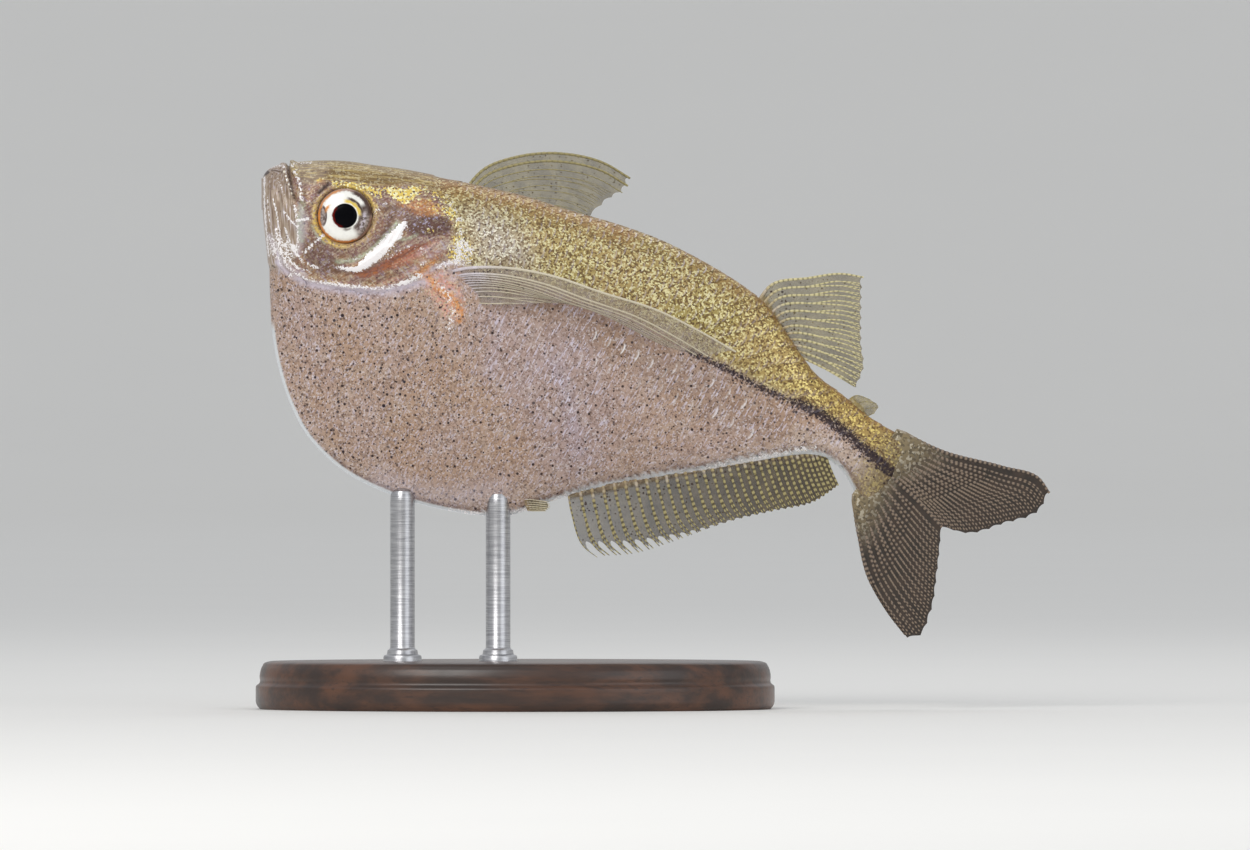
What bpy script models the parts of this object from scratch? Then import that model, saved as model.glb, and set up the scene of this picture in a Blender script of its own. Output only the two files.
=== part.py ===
"""Silver hatchetfish, a still, life-size model held over a flat base by two rods.

The animal's outlines are in hundredths of its standard length, the length from
the jaw to the root of the tail fin: x runs rearwards from the jaw's front, y to
the fish's right and z up from the lowest point of the keel. Everything else is
in metres. The origin is the middle of the base's underside, and +X is rearwards.
"""
import math

import bmesh
import bpy
import numpy as np
from mathutils import Matrix, Vector
from mathutils.bvhtree import BVHTree

# Driving dimensions, in metres
STANDARD_LENGTH = 0.050
PART = STANDARD_LENGTH / 100
GAP = 0.0003
BASE_LENGTH = 0.038
BASE_WIDTH = 0.026
BASE_HEIGHT = 0.0035
BASE_BEVEL = 0.0006
ROD_RADIUS = 0.0009
TAIL_CLEARANCE = 0.0016
EYE_RADIUS = 0.00200
EYE_BULGE = 0.00070
EYE_DEPTH = 0.00140
EYE_SINK = 0.00025
MEMBRANE = 0.00050
RAY_RIDGE = 0.00013
PLATE_RISE = 0.00016
CHEEK_RISE = 0.00008
LIP_RISE = 0.00022
LIP_WIDTH = 0.00110
ORBIT_WIDTH = 0.00050
NOSTRIL_RADIUS = 0.00022
NOSTRIL_DEPTH = 0.00040
REACH = 0.010

# How finely round shapes and lines are divided
LINE_STEPS = 26
LIP_STEPS = 10
CHEEK_STEPS = 17
COVER_STEPS = 7
ORBIT_SIDES = 24
EYE_STEPS = 8
SOCKET_STEPS = 10
NOSTRIL_STEPS = 4
BASE_SIDES = 40
ROD_SIDES = 16
RIM_SEGMENTS = 2
SHARP_ANGLE = math.radians(40)

# Places of the stand under the fish, in hundredths of the standard length
BASE_MIDDLE = 37.0
ROD_PLACES = {"stand_rod_front": 20.5, "stand_rod_rear": 34.5}
ROD_SINK = 3.0
LOWEST_TAIL = -17.9
LIFT = BASE_HEIGHT + TAIL_CLEARANCE - LOWEST_TAIL * PART

# Body sections, in hundredths of the standard length: the back's x and z, the
# keel's x and z, the half width, the share of the way down where the section is
# widest, and how sharply it thins to the keel
SECTIONS = np.array([
    (0.0, 49.6, 0.0, 45.0, 1.6, 0.50, 0.50),
    (0.5, 50.5, 0.2, 42.8, 3.1, 0.48, 0.54),
    (1.4, 51.2, 0.5, 40.1, 4.1, 0.45, 0.62),
    (2.9, 51.7, 0.8, 36.9, 4.9, 0.41, 0.75),
    (5.1, 52.0, 0.9, 33.2, 5.6, 0.38, 0.88),
    (8.4, 52.2, 1.2, 27.4, 6.4, 0.35, 1.00),
    (12.4, 52.1, 2.1, 22.1, 7.1, 0.32, 1.08),
    (16.5, 51.5, 3.9, 16.5, 7.6, 0.31, 1.12),
    (20.9, 50.9, 6.8, 11.3, 8.0, 0.30, 1.15),
    (26.0, 49.9, 12.1, 6.4, 8.3, 0.29, 1.18),
    (31.8, 48.6, 19.4, 2.9, 8.4, 0.29, 1.20),
    (38.4, 47.1, 27.5, 0.7, 8.3, 0.30, 1.20),
    (45.3, 44.9, 35.5, 0.0, 7.9, 0.31, 1.18),
    (51.9, 43.0, 41.8, 2.0, 7.2, 0.34, 1.10),
    (58.5, 40.6, 49.4, 4.2, 6.2, 0.38, 1.00),
    (64.8, 37.4, 57.5, 5.7, 5.2, 0.42, 0.90),
    (70.2, 34.1, 65.5, 6.9, 4.3, 0.45, 0.80),
    (74.0, 31.0, 72.8, 8.2, 3.6, 0.47, 0.70),
    (77.2, 26.4, 78.7, 9.1, 3.1, 0.48, 0.60),
    (80.9, 21.2, 81.9, 8.8, 2.6, 0.50, 0.55),
    (85.0, 18.0, 84.0, 7.5, 2.2, 0.50, 0.50),
    (88.7, 14.9, 85.4, 5.7, 1.9, 0.50, 0.50),
    (93.8, 11.9, 87.0, 2.5, 1.5, 0.50, 0.50),
])
HEAD_SECTIONS = 9
HEAD_STEPS = 3
BODY_STEPS = 2
SIDE_STEPS = 16
KEEL_HALF = 0.9
BACK_ROUNDNESS = 2.4
KEEL_ROUNDNESS = 6.0
BELLY_FALL = 1.6

# Lines on the side of the fish, as x and z
HEAD_EDGE = [
    (24.8, 53.5), (25.3, 49.0), (27.4, 45.2), (28.2, 41.5), (27.1, 37.9), (25.0, 35.7),
    (22.6, 34.5), (17.5, 33.3), (12.8, 32.9), (8.6, 33.8), (4.8, 35.6), (-0.8, 37.2),
]
JAW_EDGE = [(3.7, 54.0), (4.2, 49.6), (4.8, 47.1), (5.3, 43.2), (5.6, 39.5), (4.8, 35.6)]
LIP_LINE = JAW_EDGE[:4]
BREAST_EDGE = [(22.6, 34.5), (28.2, 29.6), (34.5, 22.5), (40.0, 12.5), (43.1, 2.0), (43.4, -1.5)]
TAIL_EDGE = [(82.4, 24.0), (83.0, 17.0), (83.6, 5.0)]
COVER_REAR = slice(4, 15)
COVER_FRONT = [(18.4, 35.2), (18.9, 38.6), (19.8, 42.6), (21.9, 45.6), (25.0, 46.6)]
CHEEK = [
    (6.6, 45.5), (7.3, 40.5), (10.8, 36.6), (15.2, 35.9), (17.6, 39.0), (18.3, 42.4), (17.0, 44.0),
    (12.0, 44.0),
]
EYE_PLACE = (12.2, 44.0)
NOSTRIL_PLACES = [(7.9, 48.8), (8.5, 47.8)]
NODE_MIDDLES = {
    "head": (15.0, 43.0),
    "lower_jaw": (2.5, 44.0),
    "breast": (20.0, 18.0),
    "trunk": (55.0, 25.0),
    "tail": (88.0, 10.0),
}

# Fins. Each sheet is its root, its first and its last ray, and its free edge.
DORSAL = {
    "root": [(72.2, 31.0), (75.3, 27.0), (77.6, 24.0)],
    "first": [(72.2, 31.0), (74.4, 33.9), (80.0, 35.0), (85.0, 35.6), (88.0, 35.1)],
    "last": [(77.6, 24.0), (81.8, 22.0), (87.0, 18.9)],
    "edge": [(88.0, 35.1), (87.9, 30.5), (87.9, 25.0), (88.2, 22.0), (87.0, 18.9)],
    "rays": 12,
}
ANAL = {
    "root": [(44.6, 4.6), (57.5, 7.2), (70.0, 9.3), (78.5, 10.3), (82.0, 9.9)],
    "first": [(44.6, 4.6), (45.3, 0.5), (47.1, -4.4), (49.0, -5.9)],
    "last": [(82.0, 9.9), (83.2, 7.0), (84.4, 4.5)],
    "edge": [(49.0, -5.9), (54.5, -5.6), (61.0, -3.6), (69.0, -0.7), (75.0, 0.7), (81.0, 2.1),
             (84.4, 4.5)],
    "rays": 30,
}
CAUDAL_UPPER = {
    "root": [(92.8, 12.8), (89.6, 8.1)],
    "first": [(92.8, 12.8), (99.5, 9.6), (108.4, 7.3), (113.7, 5.6), (115.2, 3.5)],
    "last": [(89.6, 8.1), (95.5, 2.8), (99.5, -1.5)],
    "edge": [(115.2, 3.5), (114.0, 1.0), (108.4, -1.2), (103.5, -2.5), (99.5, -1.5)],
    "rays": 11,
}
CAUDAL_LOWER = {
    "root": [(89.6, 8.1), (86.4, 3.4)],
    "first": [(89.6, 8.1), (95.5, 2.8), (99.5, -1.5)],
    "last": [(86.4, 3.4), (87.3, -2.9), (88.6, -8.6), (91.3, -13.6), (94.5, -17.8)],
    "edge": [(99.5, -1.5), (98.9, -8.1), (97.8, -14.5), (96.2, -17.6), (94.5, -17.8)],
    "rays": 10,
}
ADIPOSE = {
    "root": [(85.0, 16.5), (87.9, 14.2)],
    "first": [(85.0, 16.5), (86.9, 17.8), (89.0, 17.2)],
    "last": [(87.9, 14.2), (88.9, 14.9), (89.6, 15.2)],
    "edge": [(89.0, 17.2), (90.2, 16.2), (89.6, 15.2)],
    "rays": 4,
}
LEFT_PECTORAL = {
    "root": [(26.9, -6.8, 35.6), (30.6, -6.8, 31.4)],
    "first": [(26.9, -6.8, 35.6), (29.8, -10.0, 36.3), (35.1, -12.5, 36.4), (42.3, -14.5, 35.2),
              (49.5, -16.0, 32.8), (58.1, -17.0, 30.0), (63.9, -17.2, 27.1), (69.2, -16.5, 24.1)],
    "last": [(30.6, -6.8, 31.4), (32.6, -8.9, 31.2), (37.2, -10.2, 31.1)],
    "edge": [(69.2, -16.5, 24.1), (66.1, -15.0, 23.5), (59.3, -12.6, 24.7), (53.5, -11.4, 27.9),
             (45.0, -10.7, 31.0), (37.2, -10.2, 31.1)],
    "rays": 11,
}
RIGHT_PECTORAL = {
    "root": [(26.9, 6.8, 35.6), (30.6, 6.8, 31.4)],
    "first": [(26.9, 6.8, 35.6), (27.1, 12.5, 41.1), (28.9, 17.5, 47.0), (32.2, 21.0, 51.2),
              (37.0, 24.5, 53.1), (43.5, 28.5, 53.7), (50.0, 32.0, 52.3), (53.8, 34.0, 50.1)],
    "last": [(30.6, 6.8, 31.4), (32.2, 9.9, 33.0), (34.5, 13.0, 34.8)],
    "edge": [(53.8, 34.0, 50.1), (53.4, 33.0, 48.8), (50.6, 29.5, 46.7), (47.0, 25.0, 43.4),
             (40.5, 18.6, 38.2), (34.5, 13.0, 34.8)],
    "rays": 11,
}
PELVIC = {
    "root": [(38.2, 0.7, 2.6), (38.9, 0.5, 0.9)],
    "first": [(38.2, 0.7, 2.6), (39.8, 1.9, 2.5), (41.9, 2.5, 2.2)],
    "last": [(38.9, 0.5, 0.9), (40.0, 1.6, 0.9), (41.5, 2.2, 0.9)],
    "edge": [(41.9, 2.5, 2.2), (42.1, 2.4, 1.5), (41.5, 2.2, 0.9)],
    "rays": 4,
}
FIN_ROWS = {"pectoral": 9, "dorsal": 6, "anal": 5, "caudal": 7, "small": 4}
WIDE_RIDGE = (0.0, 0.24, 0.76)
NARROW_RIDGE = (0.0, 0.5)
EDGE_THINNING = 0.45
RIDGE_FADE = 0.6

# Colours of the parts: base colour, roughness and metallic value
FINISHES = {
    "head": ((0.30, 0.22, 0.13), 0.35, 0.5),
    "lower_jaw": ((0.42, 0.33, 0.25), 0.40, 0.3),
    "trunk": ((0.36, 0.29, 0.17), 0.35, 0.5),
    "breast": ((0.40, 0.29, 0.25), 0.35, 0.5),
    "tail": ((0.30, 0.26, 0.17), 0.40, 0.4),
    "eye": ((0.70, 0.68, 0.62), 0.15, 0.4),
    "fin": ((0.45, 0.41, 0.30), 0.45, 0.0),
    "stand_base": ((0.06, 0.035, 0.02), 0.45, 0.0),
    "stand_rod": ((0.55, 0.55, 0.56), 0.30, 1.0),
}

fish = bpy.data.collections.new("silver_hatchetfish")
cutters = bpy.data.collections.new("cutters")


def clear_scene():
    """Empty the scene and add the two collections."""
    for item in list(bpy.data.objects):
        bpy.data.objects.remove(item)
    for collection in (fish, cutters):
        bpy.context.scene.collection.children.link(collection)


def place(points):
    """Turn points in hundredths of the standard length into metres."""
    points = np.asarray(points, float)
    return (points - (BASE_MIDDLE, 0, 0)) * PART + (0, 0, LIFT)


def in_plane(line):
    """Points in x and z, set on the fish's middle plane."""
    return np.array([(x, 0.0, z) for x, z in line]) if len(line[0]) == 2 else np.array(line)


def smooth(knots, at, stops=None):
    """Read a smooth curve through knots, at shares of its length or at stops."""
    knots = np.asarray(knots, float)
    if stops is None:
        chords = np.linalg.norm(np.diff(knots, axis=0), axis=1)
        stops = np.concatenate([[0.0], np.cumsum(chords)]) / chords.sum()
    slopes = np.gradient(knots, stops, axis=0)
    span = np.clip(np.searchsorted(stops, at, side="right") - 1, 0, len(knots) - 2)
    width = (stops[span + 1] - stops[span])[:, None]
    t = (np.asarray(at) - stops[span])[:, None] / width
    start = (2 * t**3 - 3 * t**2 + 1) * knots[span] + (t**3 - 2 * t**2 + t) * width * slopes[span]
    end = (3 * t**2 - 2 * t**3) * knots[span + 1] + (t**3 - t**2) * width * slopes[span + 1]
    return start + end


def add_object(name, verts, faces, collection):
    """Make a mesh object of points in metres, with its faces turned outwards."""
    mesh = bpy.data.meshes.new(name)
    mesh.from_pydata([tuple(v) for v in verts], [], faces)
    work = bmesh.new()
    work.from_mesh(mesh)
    bmesh.ops.triangulate(work, faces=work.faces)
    bmesh.ops.recalc_face_normals(work, faces=work.faces)
    work.to_mesh(mesh)
    work.free()
    item = bpy.data.objects.new(name, mesh)
    collection.objects.link(item)
    if collection is cutters:
        item.hide_render = True
        item.display_type = "WIRE"
    return item


def half_widths(down, half, widest, sharp):
    """Half widths of a section at shares of the way down from back to keel."""
    keel = KEEL_HALF / half
    above = np.clip(1 - down / widest, 0, 1)
    below = np.clip((down - widest) / (1 - widest), 0, 1)
    crown = (1 - above**BACK_ROUNDNESS) ** (1 / BACK_ROUNDNESS)
    flank = (1 - keel) * (1 - below**BELLY_FALL) ** sharp
    edge = keel * np.sqrt(1 - below**KEEL_ROUNDNESS)
    return half * np.where(down < widest, crown, flank + edge)


def body_rings():
    """The body's sections as closed rings of points, from the jaw to the tail."""
    last = len(SECTIONS) - 1
    head = np.arange(0, HEAD_SECTIONS, 1 / HEAD_STEPS)
    rest = np.arange(HEAD_SECTIONS, last + 0.5 / BODY_STEPS, 1 / BODY_STEPS)
    rows = smooth(SECTIONS, np.concatenate([head, rest]), np.arange(last + 1.0))
    down = (1 - np.cos(np.linspace(0, math.pi, SIDE_STEPS + 1))) / 2
    rings = []
    for back_x, back_z, keel_x, keel_z, half, widest, sharp in rows:
        x = back_x + (keel_x - back_x) * down
        z = back_z + (keel_z - back_z) * down
        y = half_widths(down, half, widest, sharp)
        y[[0, -1]] = 0.0
        right = np.stack([x, y, z], axis=1)
        left = (right * (1, -1, 1))[-2:0:-1]
        rings.append(np.concatenate([right, left]))
    return rings


def make_body(name, grow, collection):
    """Loft the whole body, each point moved out by grow metres."""
    rings = body_rings()
    size = len(rings[0])
    verts = place(np.concatenate(rings))
    faces = [tuple(range(size)), tuple(range(len(verts) - size, len(verts)))]
    for ring in range(len(rings) - 1):
        for i in range(size):
            j = (i + 1) % size
            low = ring * size
            faces.append((low + i, low + j, low + size + j, low + size + i))
    item = add_object(name, verts, faces, collection)
    work = bmesh.new()
    work.from_mesh(item.data)
    work.normal_update()
    moves = [vert.normal * grow * vert.calc_shell_factor() for vert in work.verts]
    for vert, move in zip(work.verts, moves):
        vert.co += move
    work.to_mesh(item.data)
    work.free()
    return item


def slab(name, outline):
    """The solid that an outline in x and z sweeps along y, past both flanks."""
    line = place(in_plane(outline))
    count = len(line)
    verts = np.concatenate([line - (0, REACH, 0), line + (0, REACH, 0)])
    sides = [(i, (i + 1) % count, (i + 1) % count + count, i + count) for i in range(count)]
    faces = [tuple(range(count)), tuple(range(count, 2 * count))] + sides
    return add_object(name, verts, faces, cutters)


def ribbon(name, line, width, count=LINE_STEPS):
    """A wall of the given width in metres along a line on the side of the fish."""
    middle = smooth(line, np.linspace(0, 1, count))
    along = np.gradient(middle, axis=0)
    along /= np.linalg.norm(along, axis=1)[:, None]
    offset = np.stack([-along[:, 1], along[:, 0]], axis=1) * width / PART / 2
    return slab(name, np.concatenate([middle + offset, (middle - offset)[::-1]]))


def apply_boolean(item, operation, tools):
    """Join or cut an item with tools, which are removed, and keep the result."""
    pool = bpy.data.collections.new("tools")
    bpy.context.scene.collection.children.link(pool)
    for tool in tools:
        pool.objects.link(tool)
    modifier = item.modifiers.new("boolean", "BOOLEAN")
    modifier.operation = operation
    modifier.operand_type = "COLLECTION"
    modifier.collection = pool
    modifier.solver = "EXACT"
    depsgraph = bpy.context.evaluated_depsgraph_get()
    result = bpy.data.meshes.new_from_object(item.evaluated_get(depsgraph))
    item.modifiers.clear()
    item.data = result
    for tool in tools:
        bpy.data.objects.remove(tool)
    bpy.data.collections.remove(pool)


def islands(mesh):
    """The separate closed surfaces of a mesh, as lists of its vertices."""
    found = []
    seen = set()
    for start in mesh.verts:
        if start in seen:
            continue
        seen.add(start)
        group = [start]
        for vert in group:
            for edge in vert.link_edges:
                other = edge.other_vert(vert)
                if other not in seen:
                    seen.add(other)
                    group.append(other)
        found.append(group)
    return found


def keep_island(item, choose):
    """Leave only the surface of an item for which choose gives the largest value."""
    work = bmesh.new()
    work.from_mesh(item.data)
    groups = islands(work)
    kept = max(groups, key=choose)
    dropped = [vert for group in groups if group is not kept for vert in group]
    bmesh.ops.delete(work, geom=dropped, context="VERTS")
    work.to_mesh(item.data)
    work.free()


def extent(group):
    """How far a surface reaches, from its lowest to its highest corner."""
    points = np.array([vert.co for vert in group])
    return np.linalg.norm(points.max(axis=0) - points.min(axis=0))


def flank(body, x, z, side):
    """The point of the body's surface at x and z on one side, in metres."""
    work = bmesh.new()
    work.from_mesh(body.data)
    tree = BVHTree.FromBMesh(work)
    work.free()
    start = place((x, side * REACH / PART, z))
    return tree.ray_cast(Vector(start), Vector((0, -side, 0)))[0]


def ellipsoid(name, centre, radii, steps, collection):
    """A ball of three radii, with its poles along y and a deeper inner half."""
    work = bmesh.new()
    bmesh.ops.create_uvsphere(work, u_segments=2 * steps, v_segments=steps, radius=1)
    bmesh.ops.rotate(work, verts=work.verts, matrix=Matrix.Rotation(math.pi / 2, 3, "X"))
    wide, bulge, depth = radii
    outward = math.copysign(1, centre[1])
    for vert in work.verts:
        reach = bulge if vert.co.y * outward > 0 else depth
        vert.co = Vector((vert.co.x * wide, vert.co.y * reach, vert.co.z * wide)) + centre
    mesh = bpy.data.meshes.new(name)
    work.to_mesh(mesh)
    work.free()
    item = bpy.data.objects.new(name, mesh)
    collection.objects.link(item)
    return item


def circle(centre, radius, count=ORBIT_SIDES):
    """Points round a centre in x and z, at a radius given in metres."""
    turns = np.arange(count) * 2 * math.pi / count
    return np.array(centre) + np.stack([np.cos(turns), np.sin(turns)], axis=1) * radius / PART


def raise_plates(body):
    """Raise the gill covers, cheeks, lips and orbits from the head."""
    rear = smooth(HEAD_EDGE, np.linspace(0, 1, LINE_STEPS))[COVER_REAR]
    cover = np.concatenate([rear, smooth(COVER_FRONT, np.linspace(0, 1, COVER_STEPS))])
    cheek = smooth(CHEEK + CHEEK[:1], np.linspace(0, 1, CHEEK_STEPS)[:-1])
    orbit = circle(EYE_PLACE, EYE_RADIUS + ORBIT_WIDTH)
    plates = []
    for name, rise, shape in (
        ("cover", PLATE_RISE, slab("cover_outline", cover)),
        ("cheek", CHEEK_RISE, slab("cheek_outline", cheek)),
        ("orbit", PLATE_RISE, slab("orbit_outline", orbit)),
        ("lips", LIP_RISE, ribbon("lip_outline", LIP_LINE, LIP_WIDTH, LIP_STEPS)),
    ):
        plate = make_body(name, rise, cutters)
        apply_boolean(plate, "INTERSECT", [shape])
        plates.append(plate)
    apply_boolean(body, "UNION", plates)


def cut_head(body, eyes):
    """Cut the eye sockets and the nostrils."""
    tools = []
    for side, eye in eyes.items():
        radii = (EYE_RADIUS + GAP, EYE_BULGE + GAP, EYE_DEPTH + GAP)
        tools.append(ellipsoid("socket", eye, radii, SOCKET_STEPS, cutters))
        for x, z in NOSTRIL_PLACES:
            middle = flank(body, x, z, side)
            radii = (NOSTRIL_RADIUS, NOSTRIL_DEPTH, NOSTRIL_DEPTH)
            tools.append(ellipsoid("nostril", middle, radii, NOSTRIL_STEPS, cutters))
    apply_boolean(body, "DIFFERENCE", tools)


def part_body(body):
    """Part the body along its lines with thin cuts, one node for each piece."""
    lines = {"head": HEAD_EDGE, "jaw": JAW_EDGE, "breast": BREAST_EDGE, "tail": TAIL_EDGE}
    apply_boolean(body, "DIFFERENCE", [ribbon(name, line, GAP) for name, line in lines.items()])
    for name, (x, z) in NODE_MIDDLES.items():
        target = Vector(place((x, 0, z)))
        node = bpy.data.objects.new(name, body.data.copy())
        fish.objects.link(node)

        def nearness(group):
            middle = sum((vert.co for vert in group), Vector()) / len(group)
            return -(middle - target).length if len(group) > SIDE_STEPS else -REACH

        keep_island(node, nearness)
    bpy.data.objects.remove(body)


def fin_sheet(sheet, rows, ridge):
    """Middle points of one sheet of a fin, a line of them for each column."""
    lines = {key: in_plane(sheet[key]) for key in ("root", "first", "last", "edge")}
    count = sheet["rays"]
    across = np.array([i + part for i in range(count - 1) for part in ridge] + [count - 1.0])
    s = across[:, None, None] / (count - 1)
    t = np.linspace(0, 1, rows + 1)
    sides = (1 - s) * smooth(lines["first"], t)[None] + s * smooth(lines["last"], t)[None]
    t = t[None, :, None]
    root = smooth(lines["root"], s[:, 0, 0])[:, None]
    edge = smooth(lines["edge"], s[:, 0, 0])[:, None]
    near = (1 - s) * lines["root"][0] + s * lines["root"][-1]
    far = (1 - s) * lines["edge"][0] + s * lines["edge"][-1]
    points = sides + (1 - t) * (root - near) + t * (edge - far)
    crest = np.isclose(across, np.round(across))
    return points, crest


def make_fin(name, sheets, rows, ridge):
    """A fin whose rays are ridges on both faces, split into like triangles."""
    parts = [fin_sheet(sheet, rows, ridge) for sheet in sheets]
    points = np.concatenate([parts[0][0]] + [part[0][1:] for part in parts[1:]])
    crest = np.concatenate([parts[0][1]] + [part[1][1:] for part in parts[1:]])
    middle = place(points)
    normal = np.cross(np.gradient(middle, axis=0), np.gradient(middle, axis=1))
    normal /= np.linalg.norm(normal, axis=2)[:, :, None]
    out = np.linspace(0, 1, rows + 1)[None, :]
    half = MEMBRANE / 2 * (1 - EDGE_THINNING * out**3)
    half = half + crest[:, None] * RAY_RIDGE * (1 - RIDGE_FADE * out)
    shift = normal * half[:, :, None]
    columns = len(middle)
    verts = np.concatenate([(middle + shift).reshape(-1, 3), (middle - shift).reshape(-1, 3)])
    back = columns * (rows + 1)
    faces = []
    for i in range(columns - 1):
        for j in range(rows):
            a = i * (rows + 1) + j
            b = a + rows + 1
            faces += [(a, b, b + 1), (a, b + 1, a + 1)]
            faces += [(back + a, back + b + 1, back + b), (back + a, back + a + 1, back + b + 1)]
    rim = [i * (rows + 1) for i in range(columns)]
    rim += [(columns - 1) * (rows + 1) + j for j in range(1, rows + 1)]
    rim += [i * (rows + 1) + rows for i in range(columns - 2, -1, -1)]
    rim += [j for j in range(rows - 1, 0, -1)]
    for a, b in zip(rim, rim[1:] + rim[:1]):
        faces.append((a, b, back + b, back + a))
    return add_object(name, verts, faces, fish)


def mirrored(sheet):
    """The same sheet on the fish's other side."""
    flip = {key: [(x, -y, z) for x, y, z in sheet[key]] for key in ("root", "first", "last", "edge")}
    return {**flip, "rays": sheet["rays"]}


def make_fins():
    """Make every fin and cut its root back to a thin gap from the body."""
    plan = {
        "dorsal_fin": ([DORSAL], FIN_ROWS["dorsal"], WIDE_RIDGE),
        "anal_fin": ([ANAL], FIN_ROWS["anal"], NARROW_RIDGE),
        "caudal_fin": ([CAUDAL_UPPER, CAUDAL_LOWER], FIN_ROWS["caudal"], NARROW_RIDGE),
        "adipose_fin": ([ADIPOSE], FIN_ROWS["small"], NARROW_RIDGE),
        "pectoral_fin_left": ([LEFT_PECTORAL], FIN_ROWS["pectoral"], WIDE_RIDGE),
        "pectoral_fin_right": ([RIGHT_PECTORAL], FIN_ROWS["pectoral"], WIDE_RIDGE),
        "pelvic_fin_right": ([PELVIC], FIN_ROWS["small"], NARROW_RIDGE),
        "pelvic_fin_left": ([mirrored(PELVIC)], FIN_ROWS["small"], NARROW_RIDGE),
    }
    for name, (sheets, rows, ridge) in plan.items():
        clear_of_body(make_fin(name, sheets, rows, ridge))


def clear_of_body(item):
    """Cut an item back to a thin gap from the body, and drop what this cuts off."""
    apply_boolean(item, "DIFFERENCE", [make_body("grown_body", GAP, cutters)])
    keep_island(item, extent)


def make_stand():
    """An oval base with a softened rim and two rods that end under the keel."""
    bpy.ops.mesh.primitive_cylinder_add(vertices=BASE_SIDES, radius=0.5, depth=BASE_HEIGHT)
    base = bpy.context.object
    base.name = "stand_base"
    base.data.transform(Matrix.Diagonal((BASE_LENGTH, BASE_WIDTH, 1, 1)))
    base.data.transform(Matrix.Translation((0, 0, BASE_HEIGHT / 2)))
    bevel = base.modifiers.new("rim", "BEVEL")
    bevel.width = BASE_BEVEL
    bevel.segments = RIM_SEGMENTS
    adopt(base)
    foot = BASE_HEIGHT + GAP
    for name, x in ROD_PLACES.items():
        top = LIFT + ROD_SINK * PART
        bpy.ops.mesh.primitive_cylinder_add(vertices=ROD_SIDES, radius=ROD_RADIUS, depth=top - foot)
        rod = bpy.context.object
        rod.name = name
        centre = place((x, 0, 0))
        rod.data.transform(Matrix.Translation((centre[0], 0, (top + foot) / 2)))
        adopt(rod)
        clear_of_body(rod)


def adopt(item):
    """Move a new object from the scene's own collection to the fish's."""
    for collection in list(item.users_collection):
        collection.objects.unlink(item)
    fish.objects.link(item)


def finish_of(name):
    """The finish that a node takes: its own, or that of its kind."""
    kinds = [kind for kind in FINISHES if kind in name]
    return FINISHES[name] if name in FINISHES else FINISHES[kinds[0]]


def paint():
    """Give each node a material of its own and smooth shading."""
    for item in fish.objects:
        colour, roughness, metallic = finish_of(item.name)
        material = bpy.data.materials.new(item.name)
        material.use_nodes = True
        shader = material.node_tree.nodes["Principled BSDF"]
        shader.inputs["Base Color"].default_value = (*colour, 1)
        shader.inputs["Roughness"].default_value = roughness
        shader.inputs["Metallic"].default_value = metallic
        item.data.materials.clear()
        item.data.materials.append(material)
        item.data.shade_smooth()
        item.data.set_sharp_from_angle(angle=SHARP_ANGLE)


def main():
    """Model the fish and its stand."""
    clear_scene()
    body = make_body("body", 0.0, fish)
    eyes = {}
    for side, name in ((-1, "eye_left"), (1, "eye_right")):
        eyes[side] = flank(body, *EYE_PLACE, side) - Vector((0, side * EYE_SINK, 0))
        ellipsoid(name, eyes[side], (EYE_RADIUS, EYE_BULGE, EYE_DEPTH), EYE_STEPS, fish)
    raise_plates(body)
    cut_head(body, eyes)
    part_body(body)
    make_fins()
    make_stand()
    paint()


main()
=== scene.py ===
"""Looks of a silver hatchetfish, a life-size model held over a flat base by two rods.

The fish's outlines are in hundredths of its standard length: x runs rearwards
from the jaw's front, y to the fish's right and z up from the keel's lowest point.
Markings are placed by pixels of the 1250 by 850 photograph, which on_side turns
into the same hundredths. Everything else is in metres.
"""

import math

import bpy
import numpy as np
from bpy.props import FloatProperty, FloatVectorProperty, IntProperty, PointerProperty
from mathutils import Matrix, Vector
from mathutils.bvhtree import BVHTree


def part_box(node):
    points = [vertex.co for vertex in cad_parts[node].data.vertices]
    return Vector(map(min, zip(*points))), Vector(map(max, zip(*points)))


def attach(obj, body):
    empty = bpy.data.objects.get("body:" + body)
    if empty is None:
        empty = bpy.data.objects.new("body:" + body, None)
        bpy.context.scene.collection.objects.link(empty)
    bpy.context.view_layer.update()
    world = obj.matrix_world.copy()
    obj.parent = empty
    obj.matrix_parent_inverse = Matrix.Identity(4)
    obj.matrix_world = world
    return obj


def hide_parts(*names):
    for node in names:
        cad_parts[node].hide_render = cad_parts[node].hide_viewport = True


bl_info = {
    "name": "Silver hatchetfish",
    "version": (1, 0, 0),
    "blender": (4, 5, 0),
    "location": "View3D > Sidebar > Hatchetfish",
    "description": "Builds the skin, scales, eyes, fins and stand of a silver hatchetfish",
    "category": "Object",
}

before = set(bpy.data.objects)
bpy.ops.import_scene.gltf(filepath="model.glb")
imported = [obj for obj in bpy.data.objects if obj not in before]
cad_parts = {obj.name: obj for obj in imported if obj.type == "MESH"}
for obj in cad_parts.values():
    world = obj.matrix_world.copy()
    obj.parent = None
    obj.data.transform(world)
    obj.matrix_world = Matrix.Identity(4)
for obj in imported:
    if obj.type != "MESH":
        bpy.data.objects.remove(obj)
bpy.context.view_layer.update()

# Driving dimensions that the solids share: in metres, but the tail's lowest point and
# the base's middle in hundredths
STANDARD_LENGTH = 0.050
PART = STANDARD_LENGTH / 100
TAIL_CLEARANCE = 0.0016
LOWEST_TAIL = -17.9
BASE_MIDDLE = 37.0
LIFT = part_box("stand_base")[1].z + TAIL_CLEARANCE - LOWEST_TAIL * PART
EYE_RADIUS = 0.00200
EYE_BULGE = 0.00070
EYE_DEPTH = 0.00140

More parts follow.
